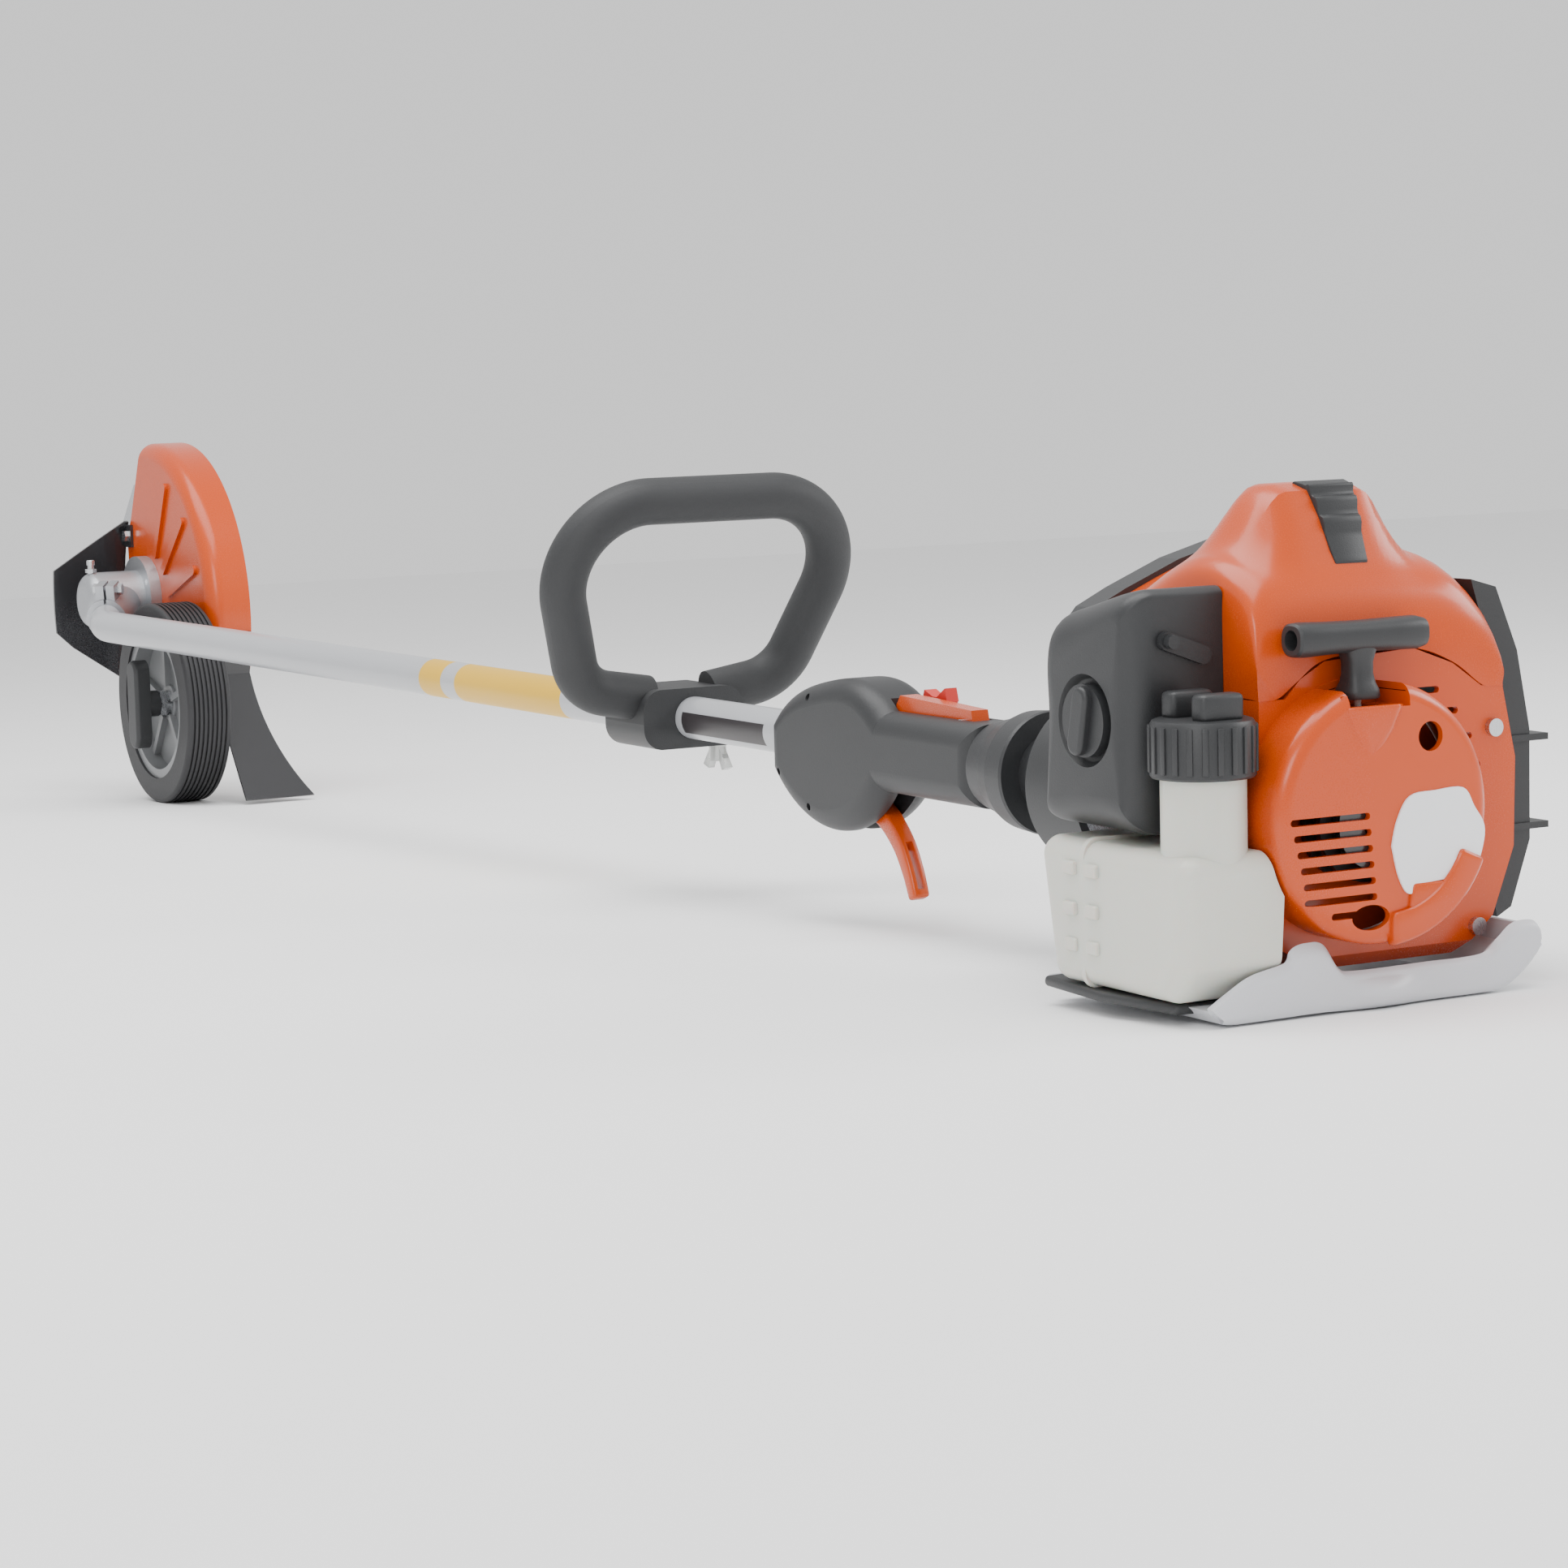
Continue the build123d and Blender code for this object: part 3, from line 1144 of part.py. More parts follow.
pan_x0, pan_x1 = 128.0, 252.0
foot_rise = tan(radians(stance_angle))
floor_plane = Plane(origin=(wheel_x, 0, floor_z_at_wheel), x_dir=(1, 0, foot_rise), z_dir=(-foot_rise, 0, 1))
with BuildPart() as skid_plate:
    with BuildSketch(section(pan_x0)):
        Polygon((-37, -60), (-37, -74), (-84, -74), (-78, -80), (72, -80), (93, -64), (91, -53),
                (88, -53), (89, -62.5), (70, -76), (-34, -76), (-35, -60), align=None)
    extrude(amount=pan_x1 - pan_x0)
    with BuildSketch(section(pan_x1 - 3)):
        Polygon((-78, -80), (-66, -64), (-45, -61), (-40, -54), (-24, -54), (-16, -65), (64, -65), (79, -54),
                (91, -53), (93, -64), (72, -80), align=None)
    extrude(amount=3)
    for y in (-56, -4, 48):
        with Locations(((pan_x0 + pan_x1) / 2, y, -83)):
            Box(110, 18, 10)
    split(bisect_by=floor_plane, keep=Keep.TOP)
write(skid_plate, "skid_plate")

# ---------------------------------------------------------------- fasteners of the head and the engine covers
cover_screw_spots = ((-37, 34), (82, 34), (72, -54))
with BuildPart() as fasteners:
    add(clamp_bolt.part)
    add(grease_nipple.part)
    add(guard_bolts.part)
    add(handle_pins.part)
    for y, z in cover_screw_spots:
        add(ring(cover_x1, cover_x1 + 3, 0, 4, y, z))
write(fasteners, "fasteners")
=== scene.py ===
import json
from math import cos, hypot, pi, radians, sin

import bmesh
import bpy
from mathutils import Matrix, Vector


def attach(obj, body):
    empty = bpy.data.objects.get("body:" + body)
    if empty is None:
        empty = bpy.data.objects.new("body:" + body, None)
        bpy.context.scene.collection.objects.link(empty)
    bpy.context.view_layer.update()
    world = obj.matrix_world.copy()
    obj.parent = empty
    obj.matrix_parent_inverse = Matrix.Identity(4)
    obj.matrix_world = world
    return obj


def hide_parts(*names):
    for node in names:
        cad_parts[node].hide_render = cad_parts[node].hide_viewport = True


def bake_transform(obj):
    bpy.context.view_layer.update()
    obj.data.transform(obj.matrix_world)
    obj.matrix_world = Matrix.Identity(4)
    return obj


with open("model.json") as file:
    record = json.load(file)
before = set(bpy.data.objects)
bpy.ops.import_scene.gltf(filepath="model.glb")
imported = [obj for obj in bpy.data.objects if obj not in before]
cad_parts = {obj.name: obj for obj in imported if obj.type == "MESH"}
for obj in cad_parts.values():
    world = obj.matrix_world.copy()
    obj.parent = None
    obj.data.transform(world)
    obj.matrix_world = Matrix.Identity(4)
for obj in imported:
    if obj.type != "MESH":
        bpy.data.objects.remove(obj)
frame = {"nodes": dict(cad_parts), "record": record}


def write_size():
    """Brings the view layer up to date."""
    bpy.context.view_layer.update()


write_size()

# ---------------------------------------------------------------- the machine's own axes, in mm
STANCE = radians(2.0)                # the tube slopes down to the blade when the machine stands
MIDDLE_X, MIDDLE_Y, FLOOR = -612.3, 12.5, -90.54


# ---------------------------------------------------------------- finishes
class Value:
    """A shader socket that adds, subtracts and multiplies with numbers and with other sockets."""

    def __init__(self, tree, socket):
        self.tree = tree
        self.socket = socket

    def combine(self, operation, first, second):
        node = self.tree.nodes.new("ShaderNodeMath")
        node.operation = operation
        for slot, item in zip(node.inputs, (first, second)):
            if isinstance(item, Value):
                self.tree.links.new(item.socket, slot)
            else:
                slot.default_value = item
        return Value(self.tree, node.outputs[0])

    def __add__(self, other):
        return self.combine("ADD", self, other)

    def __radd__(self, other):
        return self.combine("ADD", other, self)

    def __sub__(self, other):
        return self.combine("SUBTRACT", self, other)

    def __rsub__(self, other):
        return self.combine("SUBTRACT", other, self)

    def __mul__(self, other):
        return self.combine("MULTIPLY", self, other)

    def __rmul__(self, other):
        return self.combine("MULTIPLY", other, self)


class Finish:
    """A material made from one Principled shader, with texture set in the object's own coordinates."""

    def __init__(self, name, **constants):
        self.material = bpy.data.materials.new(name)
        self.material.use_nodes = True
        self.tree = self.material.node_tree
        self.shader = self.tree.nodes["Principled BSDF"]
        for key, value in constants.items():
            self.shader.inputs[key.replace("_", " ")].default_value = value
        self.place = self.node("ShaderNodeTexCoord").outputs["Object"]

    def node(self, kind, settings=None, **sockets):
        """Adds a node: its settings first, then the values or links of its sockets."""
        made = self.tree.nodes.new(kind)
        for key, value in (settings or {}).items():
            setattr(made, key, value)
        for key, value in sockets.items():
            slot = made.inputs[key.replace("_", " ")]
            if isinstance(value, Value):
                self.tree.links.new(value.socket, slot)
            elif isinstance(value, bpy.types.NodeSocket):
                self.tree.links.new(value, slot)
            else:
                slot.default_value = value
        return made

    def noise(self, scale, detail=2.0, stretch=(1, 1, 1)):
        """Smooth mottling, from 0 to 1. The scale is in waves per metre."""
        spread = self.node("ShaderNodeVectorMath", {"operation": "MULTIPLY"})
        self.tree.links.new(self.place, spread.inputs[0])
        spread.inputs[1].default_value = stretch
        found = self.node("ShaderNodeTexNoise", Vector=spread.outputs[0], Scale=scale, Detail=detail)
        return Value(self.tree, found.outputs[0])

    def blend(self, share, first, second):
        """One colour where the share is 0, the other where it is 1."""
        mix = self.node("ShaderNodeMix", {"data_type": "RGBA"})
        for slot, colour in ((mix.inputs[6], first), (mix.inputs[7], second)):
            if isinstance(colour, bpy.types.NodeSocket):
                self.tree.links.new(colour, slot)
            else:
                slot.default_value = (*colour, 1)
        self.tree.links.new(share.socket, mix.inputs[0])
        return mix.outputs[2]

    def feed(self, key, value):
        """Links a value into one of the shader's sockets."""
        self.tree.links.new(value.socket if isinstance(value, Value) else value, self.shader.inputs[key])
        return self

    def grain(self, height, depth, strength=1.0):
        """Surface grain. The depth is in metres."""
        bump = self.node("ShaderNodeBump", Height=height, Distance=depth, Strength=strength)
        return self.feed("Normal", bump.outputs[0])


def moulded(name, colour, shade, rough, spread, grain_scale, depth, **constants):
    """Plastic, rubber or paint: a little mottling in the colour and the shine, and a fine grain."""
    made = Finish(name, **constants)
    broad = made.noise(9.0, 3.0)
    fine = made.noise(grain_scale, 2.0)
    made.feed("Base Color", made.blend(broad, colour, shade))
    made.feed("Roughness", rough + (broad - 0.5) * spread + (fine - 0.5) * spread * 0.6)
    made.grain(fine, depth)
    return made.material


def metal(name, colour, shade, rough, spread, grain_scale, depth, stretch=(1, 1, 1), shine=1.0, **constants):
    """Bare metal with cast or brushed grain."""
    made = Finish(name, **constants)
    broad = made.noise(14.0, 3.0)
    fine = made.noise(grain_scale, 3.0, stretch)
    made.feed("Base Color", made.blend(broad * 0.5 + fine * 0.5, colour, shade))
    made.feed("Metallic", shine - (broad - 0.5) * 0.1)
    made.feed("Roughness", rough + (fine - 0.5) * spread)
    made.grain(fine, depth)
    return made.material


FINISHES = {
    "orange_plastic": moulded("Glossy orange plastic", (0.56, 0.062, 0.0012), (0.50, 0.052, 0.001), 0.27, 0.06,
                              1600, 0.00002, Coat_Weight=0.12, Coat_Roughness=0.1, Specular_IOR_Level=0.4),
    "dark_plastic": moulded("Grained charcoal plastic", (0.022, 0.023, 0.025), (0.017, 0.018, 0.019), 0.47, 0.08,
                            1500, 0.00007),
    "grip_rubber": moulded("Soft grip rubber", (0.024, 0.025, 0.027), (0.018, 0.019, 0.020), 0.62, 0.1,
                           1100, 0.00010),
    "tank_plastic": moulded("Milky tank plastic", (0.64, 0.63, 0.57), (0.57, 0.56, 0.50), 0.36, 0.08,
                            700, 0.00006, Subsurface_Weight=0.25, Subsurface_Scale=0.01),
    "white_plastic": moulded("White skid plastic", (0.58, 0.59, 0.62), (0.53, 0.54, 0.57), 0.38, 0.08,
                             1300, 0.00005),
    "tube_paint": moulded("Pale grey tube paint", (0.42, 0.43, 0.45), (0.38, 0.39, 0.41), 0.30, 0.06,
                          900, 0.00003, Coat_Weight=0.3, Coat_Roughness=0.2),
    "cast_metal": metal("Cast light alloy", (0.50, 0.51, 0.53), (0.36, 0.37, 0.39), 0.42, 0.25, 900, 0.00018,
                        shine=0.85),
    "steel": metal("Bright steel", (0.66, 0.67, 0.69), (0.50, 0.51, 0.53), 0.27, 0.2, 600, 0.00003,
                   stretch=(1, 6, 1)),
    "black_steel": moulded("Black painted steel", (0.020, 0.020, 0.022), (0.014, 0.014, 0.016), 0.26, 0.08,
                           700, 0.00005, Coat_Weight=0.5, Coat_Roughness=0.1),
    "wheel_grey": moulded("Grey wheel plastic", (0.20, 0.205, 0.21), (0.16, 0.165, 0.17), 0.38, 0.1,
                          1300, 0.00005),
    "tyre_black": moulded("Tyre rubber", (0.022, 0.022, 0.024), (0.015, 0.015, 0.017), 0.55, 0.12,
                          900, 0.00010),
    "badge_white": moulded("White badge foil", (0.84, 0.85, 0.87), (0.80, 0.81, 0.83), 0.30, 0.05,
                           1200, 0.00001, Coat_Weight=0.3),
    "switch_red": moulded("Red switch plastic", (0.62, 0.03, 0.02), (0.52, 0.022, 0.015), 0.32, 0.06,
                          1400, 0.00003),
    "filter_foam": moulded("Filter foam", (0.42, 0.38, 0.30), (0.30, 0.27, 0.21), 0.85, 0.1, 700, 0.0008),
    "rope_fibre": moulded("Braided starter rope", (0.75, 0.74, 0.70), (0.55, 0.54, 0.50), 0.75, 0.1,
                          900, 0.0003),
    "label_yellow": moulded("Plain yellow label", (0.72, 0.42, 0.006), (0.66, 0.38, 0.005), 0.4, 0.05,
                            900, 0.00001),
    "label_dark": moulded("Plain dark label", (0.03, 0.026, 0.028), (0.024, 0.02, 0.022), 0.4, 0.05,
                          900, 0.00001),
    "clear_plastic": moulded("Clear primer plastic", (0.75, 0.76, 0.74), (0.70, 0.71, 0.69), 0.16, 0.05,
                             900, 0.00002, Transmission_Weight=0.55, IOR=1.47),
}

for entry in frame["record"]["subparts"]:
    painted = frame["nodes"][entry["node"]]
    painted.data.materials.clear()
    painted.data.materials.append(FINISHES[entry["material_slot"]])
# painted shade as well as blued spring steel: the spring is painted black so that what shows of it through the slots
# above reads as dark as the shade in the housing, though the record files the spring under plain steel
frame["nodes"]["recoil_spring"].data.materials[0] = FINISHES["black_steel"]


# ---------------------------------------------------------------- shaping tools
def raw(name, points, faces):
    """A bare mesh object, still in mm along the machine's own axes."""
    mesh = bpy.data.meshes.new(name)
    mesh.from_pydata([tuple(p) for p in points], [], faces)
    made = bpy.data.objects.new(name.replace(" ", "_"), mesh)
    bpy.context.scene.collection.objects.link(made)
    return made


def loft(name, rings, closed=True):
    """Joins rings of points with the same count. The ends are closed over."""
    count = len(rings[0])
    points = [p for ring in rings for p in ring]
    faces = []
    for row in range(len(rings) - 1):
        for step in range(count if closed else count - 1):
            after = (step + 1) % count
            faces.append((row * count + step, row * count + after,
                          (row + 1) * count + after, (row + 1) * count + step))
    if closed:
        faces.append(tuple(range(count - 1, -1, -1)))
        faces.append(tuple(range((len(rings) - 1) * count, len(rings) * count)))
    return raw(name, points, faces)


def prism(name, outline, start, end, axis):
    """An outline pushed straight along one axis, given as the two other coordinates in x, y, z order."""
    def place(pair, depth):
        if axis == "x":
            return (depth, pair[0], pair[1])
        if axis == "y":
            return (pair[0], depth, pair[1])
        return (pair[0], pair[1], depth)
    return loft(name, [[place(pair, depth) for pair in outline] for depth in (start, end)])


def turned(name, profile, centre, axis, count=96):
    """A profile of (distance along, radius) turned about an axis. The centre is its two other coordinates."""
    rings = []
    for along, radius in profile:
        ring = []
        for step in range(count):
            angle = 2 * pi * step / count
            a, b = radius * cos(angle), radius * sin(angle)
            if axis == "x":
                ring.append((along, centre[0] + a, centre[1] + b))
            elif axis == "y":
                ring.append((centre[0] + b, along, centre[1] + a))
            else:
                ring.append((centre[0] + a, centre[1] + b, along))
        rings.append(ring)
    return loft(name, rings)


def oval(width, height, centre, count=40, power=2.0, turned_by=0.0):
    """Points round an oval. A power above 2 squares it up."""
    points = []
    for step in range(count):
        angle = 2 * pi * step / count
        c, s = cos(angle), sin(angle)
        a = abs(c) ** (2 / power) * (1 if c >= 0 else -1) * width / 2
        b = abs(s) ** (2 / power) * (1 if s >= 0 else -1) * height / 2
        points.append((centre[0] + a * cos(turned_by) - b * sin(turned_by),
                       centre[1] + a * sin(turned_by) + b * cos(turned_by)))
    return points


def apply_modifier(made, kind, **settings):
    """Adds one modifier and makes its result the object's own mesh."""
    modifier = made.modifiers.new(kind.title(), kind)
    for key, value in settings.items():
        setattr(modifier, key, value)
    bpy.context.view_layer.update()
    result = bpy.data.meshes.new_from_object(made.evaluated_get(bpy.context.evaluated_depsgraph_get()))
    made.modifiers.remove(modifier)
    made.data = result
    return made


def face_outward(made):
    """Turns every face of a mesh to point out of it."""
    work = bmesh.new()
    work.from_mesh(made.data)
    bmesh.ops.recalc_face_normals(work, faces=work.faces)
    work.to_mesh(made.data)
    work.free()
    return made


def rounded(made, width, segments=4, angle=25):
    """Bevels the edges that are sharper than an angle in degrees."""
    face_outward(made)
    return apply_modifier(made, "BEVEL", width=width, segments=segments, limit_method="ANGLE",
                          angle_limit=radians(angle))


def cut(made, cutters):
    """Takes each cutter out of the piece."""
    face_outward(made)
    for cutter in cutters:
        face_outward(cutter)
        apply_modifier(made, "BOOLEAN", operation="DIFFERENCE", object=cutter, solver="EXACT")
        bpy.data.objects.remove(cutter)
    return made


def merged(made, others):
    """Puts other meshes into this one's mesh as they stand."""
    work = bmesh.new()
    work.from_mesh(made.data)
    for other in others:
        work.from_mesh(other.data)
        bpy.data.objects.remove(other)
    work.to_mesh(made.data)
    work.free()
    return made


def settle(made, slot, body, *replaced, outward=True, sharp=32):
    """Moves a finished mesh into the row frame, paints it and lets it ride on its body."""
    if outward:
        face_outward(made)
    made.data.transform(Matrix(((cos(STANCE), 0, sin(STANCE), -MIDDLE_X), (0, 1, 0, -MIDDLE_Y),
                                (-sin(STANCE), 0, cos(STANCE), -FLOOR), (0, 0, 0, 1))))
    made.data.transform(Matrix.Scale(0.001, 4))
    made.data.materials.clear()
    made.data.materials.append(FINISHES[slot])
    made.data.shade_smooth()
    made.data.set_sharp_from_angle(angle=radians(sharp))
    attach(made, body)
    if replaced:
        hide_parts(*replaced)
    return made


def ease(value, low, high):
    """0 below low, 1 above high and a smooth step between them."""
    share = min(1.0, max(0.0, (value - low) / (high - low)))
    return share * share * (3 - 2 * share)


def curve_through(points, count):
    """Evenly spread points on a smooth curve through the given ones."""
    padded = [points[0], *points, points[-1]]
    found = []
    spans = len(points) - 1
    for step in range(count):
        t = step * spans / (count - 1)
        index = min(int(t), spans - 1)
        t -= index
        a, b, c, d = padded[index:index + 4]
        found.append(tuple(
            0.5 * (2 * q + (r - p) * t + (2 * p - 5 * q + 4 * r - s) * t * t + (3 * q - p - 3 * r + s) * t ** 3)
            for p, q, r, s in zip(a, b, c, d)))
    return found


# ---------------------------------------------------------------- upper cover
CROWN_FRONT = [(88, 53), (88, 72), (81, 95), (67, 108), (44, 113), (10, 104), (-20, 92), (-37, 84), (-45, 72),
               (-45, 55)]
CROWN_FULL = [(88, 53), (88.5, 76), (81.5, 97), (67, 111), (44, 115.5), (10, 117), (-26, 116), (-40, 112),
              (-45.3, 98), (-45, 55)]
SEAM_CURVE = [(88, 52), (84, 52.3), (76, 53.5), (60, 64.5), (38, 72), (8, 71.5), (-12, 69), (-25, 61), (-35, 54.5),
              (-45, 54)]
REAR_RINGS = ((190, 1.0), (198, 0.995), (206, 0.97), (213, 0.935), (219, 0.885), (224.5, 0.82), (229, 0.735),
              (232.5, 0.62), (234.8, 0.48), (236, 0.32))
ACROSS = 90                          # points across the cover
CROWN_START, CROWN_LENGTH, CROWN_STEPS = 100, 90, 30
CROWN_BASE, HUMP_HEIGHT = 53, 27.5


def crown_ring(x, share):
    """One cross section of the upper cover, front to rear, with the hump raised on it."""
    front = 1 - ease(x, CROWN_START, CROWN_START + CROWN_LENGTH)
    full = curve_through(CROWN_FULL, ACROSS)
    lead = curve_through(CROWN_FRONT, ACROSS)
    ring = []
    for (y1, z1), (y0, z0) in zip(full, lead):
        y = y0 * front + y1 * (1 - front)
        z = z0 * front + z1 * (1 - front)
        z = CROWN_BASE + (z - CROWN_BASE) * share
        side = ease(y, -37, -8) * (1 - ease(y, 33, 57))
        along = ease(x, 150, 186) * (1 - ease(x, 203, 226))
        ring.append((x, y, z + HUMP_HEIGHT * side * along * min(1.0, share * 1.05)))
    return ring


top_rings = [crown_ring(CROWN_START + CROWN_LENGTH * step / CROWN_STEPS, 1.0) for step in range(CROWN_STEPS)]
top_rings += [crown_ring(x, share) for x, share in REAR_RINGS]
top_rings.append([(236.3, y, z) for y, z in curve_through(SEAM_CURVE, ACROSS)])
top_shell = loft("Upper engine cover", top_rings, closed=False)
face_outward(top_shell)
top_shell = apply_modifier(top_shell, "SOLIDIFY", thickness=2.6, offset=-1)
settle(top_shell, "orange_plastic", "machine", "top_cover")


def cover_height(x, y):
    """Height of the upper cover's outside above the tube axis."""
    stations = [(CROWN_START, 1.0), *REAR_RINGS]
    share = 1.0
    for (x0, s0), (x1, s1) in zip(stations, stations[1:]):
        if x0 <= x <= x1:
            share = s0 + (s1 - s0) * (x - x0) / (x1 - x0)
    ring = [(py, pz) for _, py, pz in crown_ring(x, share)]
    for (y0, z0), (y1, z1) in zip(ring, ring[1:]):
        if min(y0, y1) <= y <= max(y0, y1) and z0 > 90:
            return z0 + (z1 - z0) * (y - y0) / (y1 - y0)
    return max(z for _, z in ring)


INSERT_ROWS = 25
RIB_ROWS = (8, 9, 12, 13, 16, 17)
insert_rings = []
for step in range(INSERT_ROWS):
    share = step / (INSERT_ROWS - 1)
    x = 197 + 25 * share
    left, right_side = 2.5 + 4.5 * share, 30.5 - 6 * share
    lift = 2.4 if step in RIB_ROWS else 1.0
    top = cover_height(x, 13)
    insert_rings.append([(x - 3, left, top - 6), (x + lift * 0.7, left, top + lift),
                         (x + lift * 0.7, right_side, top + lift), (x - 3, right_side, top - 6)])
settle(rounded(loft("Ribbed cover insert", insert_rings), 0.6, 2, 40), "dark_plastic", "machine", "cover_insert")

# ---------------------------------------------------------------- starter cover details
STARTER_Y, STARTER_Z = 3.0, 4.0
funnel = loft("Rope guide funnel", [
    [(250, -21, 50), (250, 16, 50), (250, 10, 38), (250, 0, 24), (250, -8, 22), (250, -16, 36)],
    [(260, -20, 51), (260, 15, 51), (260, 9, 39), (260, -1, 27), (260, -7, 25), (260, -15, 38)],
    [(265, -14, 51.5), (265, 9, 51.5), (264, 5, 42), (262, -2, 31), (262, -6, 30), (264, -10, 41)]])
settle(rounded(funnel, 2.5, 3, 20), "orange_plastic", "machine")

LIP_OUTER, LIP_INNER = 58.6, 44
lip_outer = [(STARTER_Y + LIP_OUTER * cos(radians(a)), STARTER_Z + LIP_OUTER * sin(radians(a)))
             for a in range(-88, -20, 4)]
lip_inner = [(STARTER_Y + LIP_INNER * cos(radians(a)), STARTER_Z + LIP_INNER * sin(radians(a)))
             for a in range(-24, -92, -4)]
lip = loft("Starter cover lip", [[(258, y, z) for y, z in lip_outer + lip_inner],
                                 [(265, STARTER_Y + (y - STARTER_Y) * 0.96, STARTER_Z + (z - STARTER_Z) * 0.96)
                                  for y, z in lip_outer + lip_inner]])
settle(rounded(lip, 2.2, 3, 30), "orange_plastic", "machine")

BADGE = [(-24, -2), (-21, 9), (-14, 19), (0, 20.5), (15, 20.5), (21, 12), (26.5, 3), (25, -8), (18.5, -22),
         (12, -22.5), (9, -19), (-9, -20), (-13, -23.5), (-17, -22), (-21, -14)]
plate_line = curve_through([(29 + y, -8 + z) for y, z in [*BADGE, BADGE[0]]], 76)[:-1]
settle(rounded(prism("Blank badge", plate_line, 261.6, 263.2, "x"), 0.5, 2, 40), "badge_white", "machine", "badge")

baffle = turned("Fan baffle", [(236.2, 0.01), (236.2, 53.5), (237.4, 53.5), (237.4, 0.01)],
                (STARTER_Y, STARTER_Z), "x", 72)
settle(baffle, "orange_plastic", "machine")

lip_tab = prism("Lip tab", [(16, -27), (40, -27), (38, -38), (14, -38)], 258, 264, "x")
settle(rounded(lip_tab, 1.5, 3, 30), "orange_plastic", "machine")

# ---------------------------------------------------------------- air filter cover
COVER_CORNERS = [(139, -2), (138.5, 40), (139, 72), (147, 88), (170, 95), (200, 102), (210, 101), (211, 92), (211, 50),
                 (211, 4), (210, -3), (190, -3), (160, -3), (144, -3), (139, -2)]


def cover_outline(shrink, y, count=72):
    """The filter cover's side view, drawn in by some mm all round."""
    middle_x, middle_z = 175, 48
    ring = []
    for x, z in curve_through(COVER_CORNERS, count + 1)[:-1]:
        away = max(1.0, hypot(x - middle_x, z - middle_z))
        ring.append((x - shrink * (x - middle_x) / away, y, z - shrink * (z - middle_z) / away))
    return ring


cover_rings = [cover_outline(13.5 * (1 - cos(radians(turn_by))) + 0.02 * turn_by, -81 - 14 * sin(radians(turn_by)))
               for turn_by in range(90, -1, -10)]
cover_rings += [cover_outline(0, -60), cover_outline(0, -45.5), cover_outline(3, -45.5), cover_outline(3, -78),
                cover_outline(9, -88)]
filter_shell = loft("Air filter cover", cover_rings)
dish = turned("Knob dish", [(-99, 24), (-95.2, 20.5), (-91.5, 18.5), (-91, 17.8), (-91, 0.01)], (177, 45), "y", 64)
pin_hole = turned("Knob pin hole", [(-96, 5.2), (-80, 5.2)], (177, 45), "y", 32)
cut(filter_shell, [dish, pin_hole])
settle(filter_shell, "dark_plastic", "filter_cover", "filter_cover", sharp=40)

# ---------------------------------------------------------------- fuel cap
cap_y, cap_x = -74.0, 235.5
cap = turned("Ribbed fuel cap", [(24, 18.8), (24, 22.0), (25, 22.8), (46.5, 22.8), (48.5, 21.6), (49.2, 19.5),
                                 (49.2, 0.5), (36.4, 0.5), (36.4, 18.8)], (cap_x, cap_y), "z", 80)
blocks = [rounded(prism("Cap tab", [(cap_x + x - 5, cap_y - 11), (cap_x + x + 5, cap_y - 11),
                                    (cap_x + x + 5, cap_y + 11), (cap_x + x - 5, cap_y + 11)], 48, 60.3, "z"),
                  2.6, 3, 40) for x in (-11, 11)]
settle(merged(cap, blocks), "dark_plastic", "fuel_cap", "fuel_cap")


def ring_of_ribs(name, count, radius, centre, size, slot, body):
    """Grip ribs set round a ring. The count, radius and rib size are named inputs of the tree."""
    tree = bpy.data.node_groups.new(name, "GeometryNodeTree")
    sizes = {"Count": count, "Radius": radius, "Rib size": size}
    for label, kind in (("Geometry", "NodeSocketGeometry"), ("Count", "NodeSocketInt"),
                        ("Radius", "NodeSocketFloat"), ("Rib size", "NodeSocketVector")):
        socket = tree.interface.new_socket(label, in_out="INPUT", socket_type=kind)
        if label in sizes:
            socket.default_value = sizes[label]
    tree.interface.new_socket("Geometry", in_out="OUTPUT", socket_type="NodeSocketGeometry")
    start = tree.nodes.new("NodeGroupInput")
    circle = tree.nodes.new("GeometryNodeMeshCircle")
    rib = tree.nodes.new("GeometryNodeMeshCube")
    position = tree.nodes.new("GeometryNodeInputPosition")
    align = tree.nodes.new("FunctionNodeAlignRotationToVector")
    align.axis = "X"
    spread = tree.nodes.new("GeometryNodeInstanceOnPoints")
    realize = tree.nodes.new("GeometryNodeRealizeInstances")
    paint = tree.nodes.new("GeometryNodeSetMaterial")
    end = tree.nodes.new("NodeGroupOutput")
    tree.links.new(start.outputs["Count"], circle.inputs["Vertices"])
    tree.links.new(start.outputs["Radius"], circle.inputs["Radius"])
    tree.links.new(start.outputs["Rib size"], rib.inputs["Size"])
    tree.links.new(position.outputs[0], align.inputs["Vector"])
    tree.links.new(circle.outputs[0], spread.inputs["Points"])
    tree.links.new(rib.outputs[0], spread.inputs["Instance"])
    tree.links.new(align.outputs[0], spread.inputs["Rotation"])
    tree.links.new(spread.outputs[0], realize.inputs[0])
    tree.links.new(realize.outputs[0], paint.inputs["Geometry"])
    paint.inputs["Material"].default_value = FINISHES[slot]
    tree.links.new(paint.outputs[0], end.inputs[0])
    made = raw(name, [(0, 0, 0)], [])
    modifier = made.modifiers.new("Ribs", "NODES")
    modifier.node_group = tree
    for item in tree.interface.items_tree:
        if item.in_out == "INPUT" and item.name in sizes:
            modifier[item.identifier] = sizes[item.name]
    bpy.context.view_layer.update()
    result = bpy.data.meshes.new_from_object(made.evaluated_get(bpy.context.evaluated_depsgraph_get()))
    made.modifiers.remove(modifier)
    made.data = result
    made.data.transform(Matrix.Translation(centre))
    settle(rounded(made, 0.35, 2, 40), slot, body)


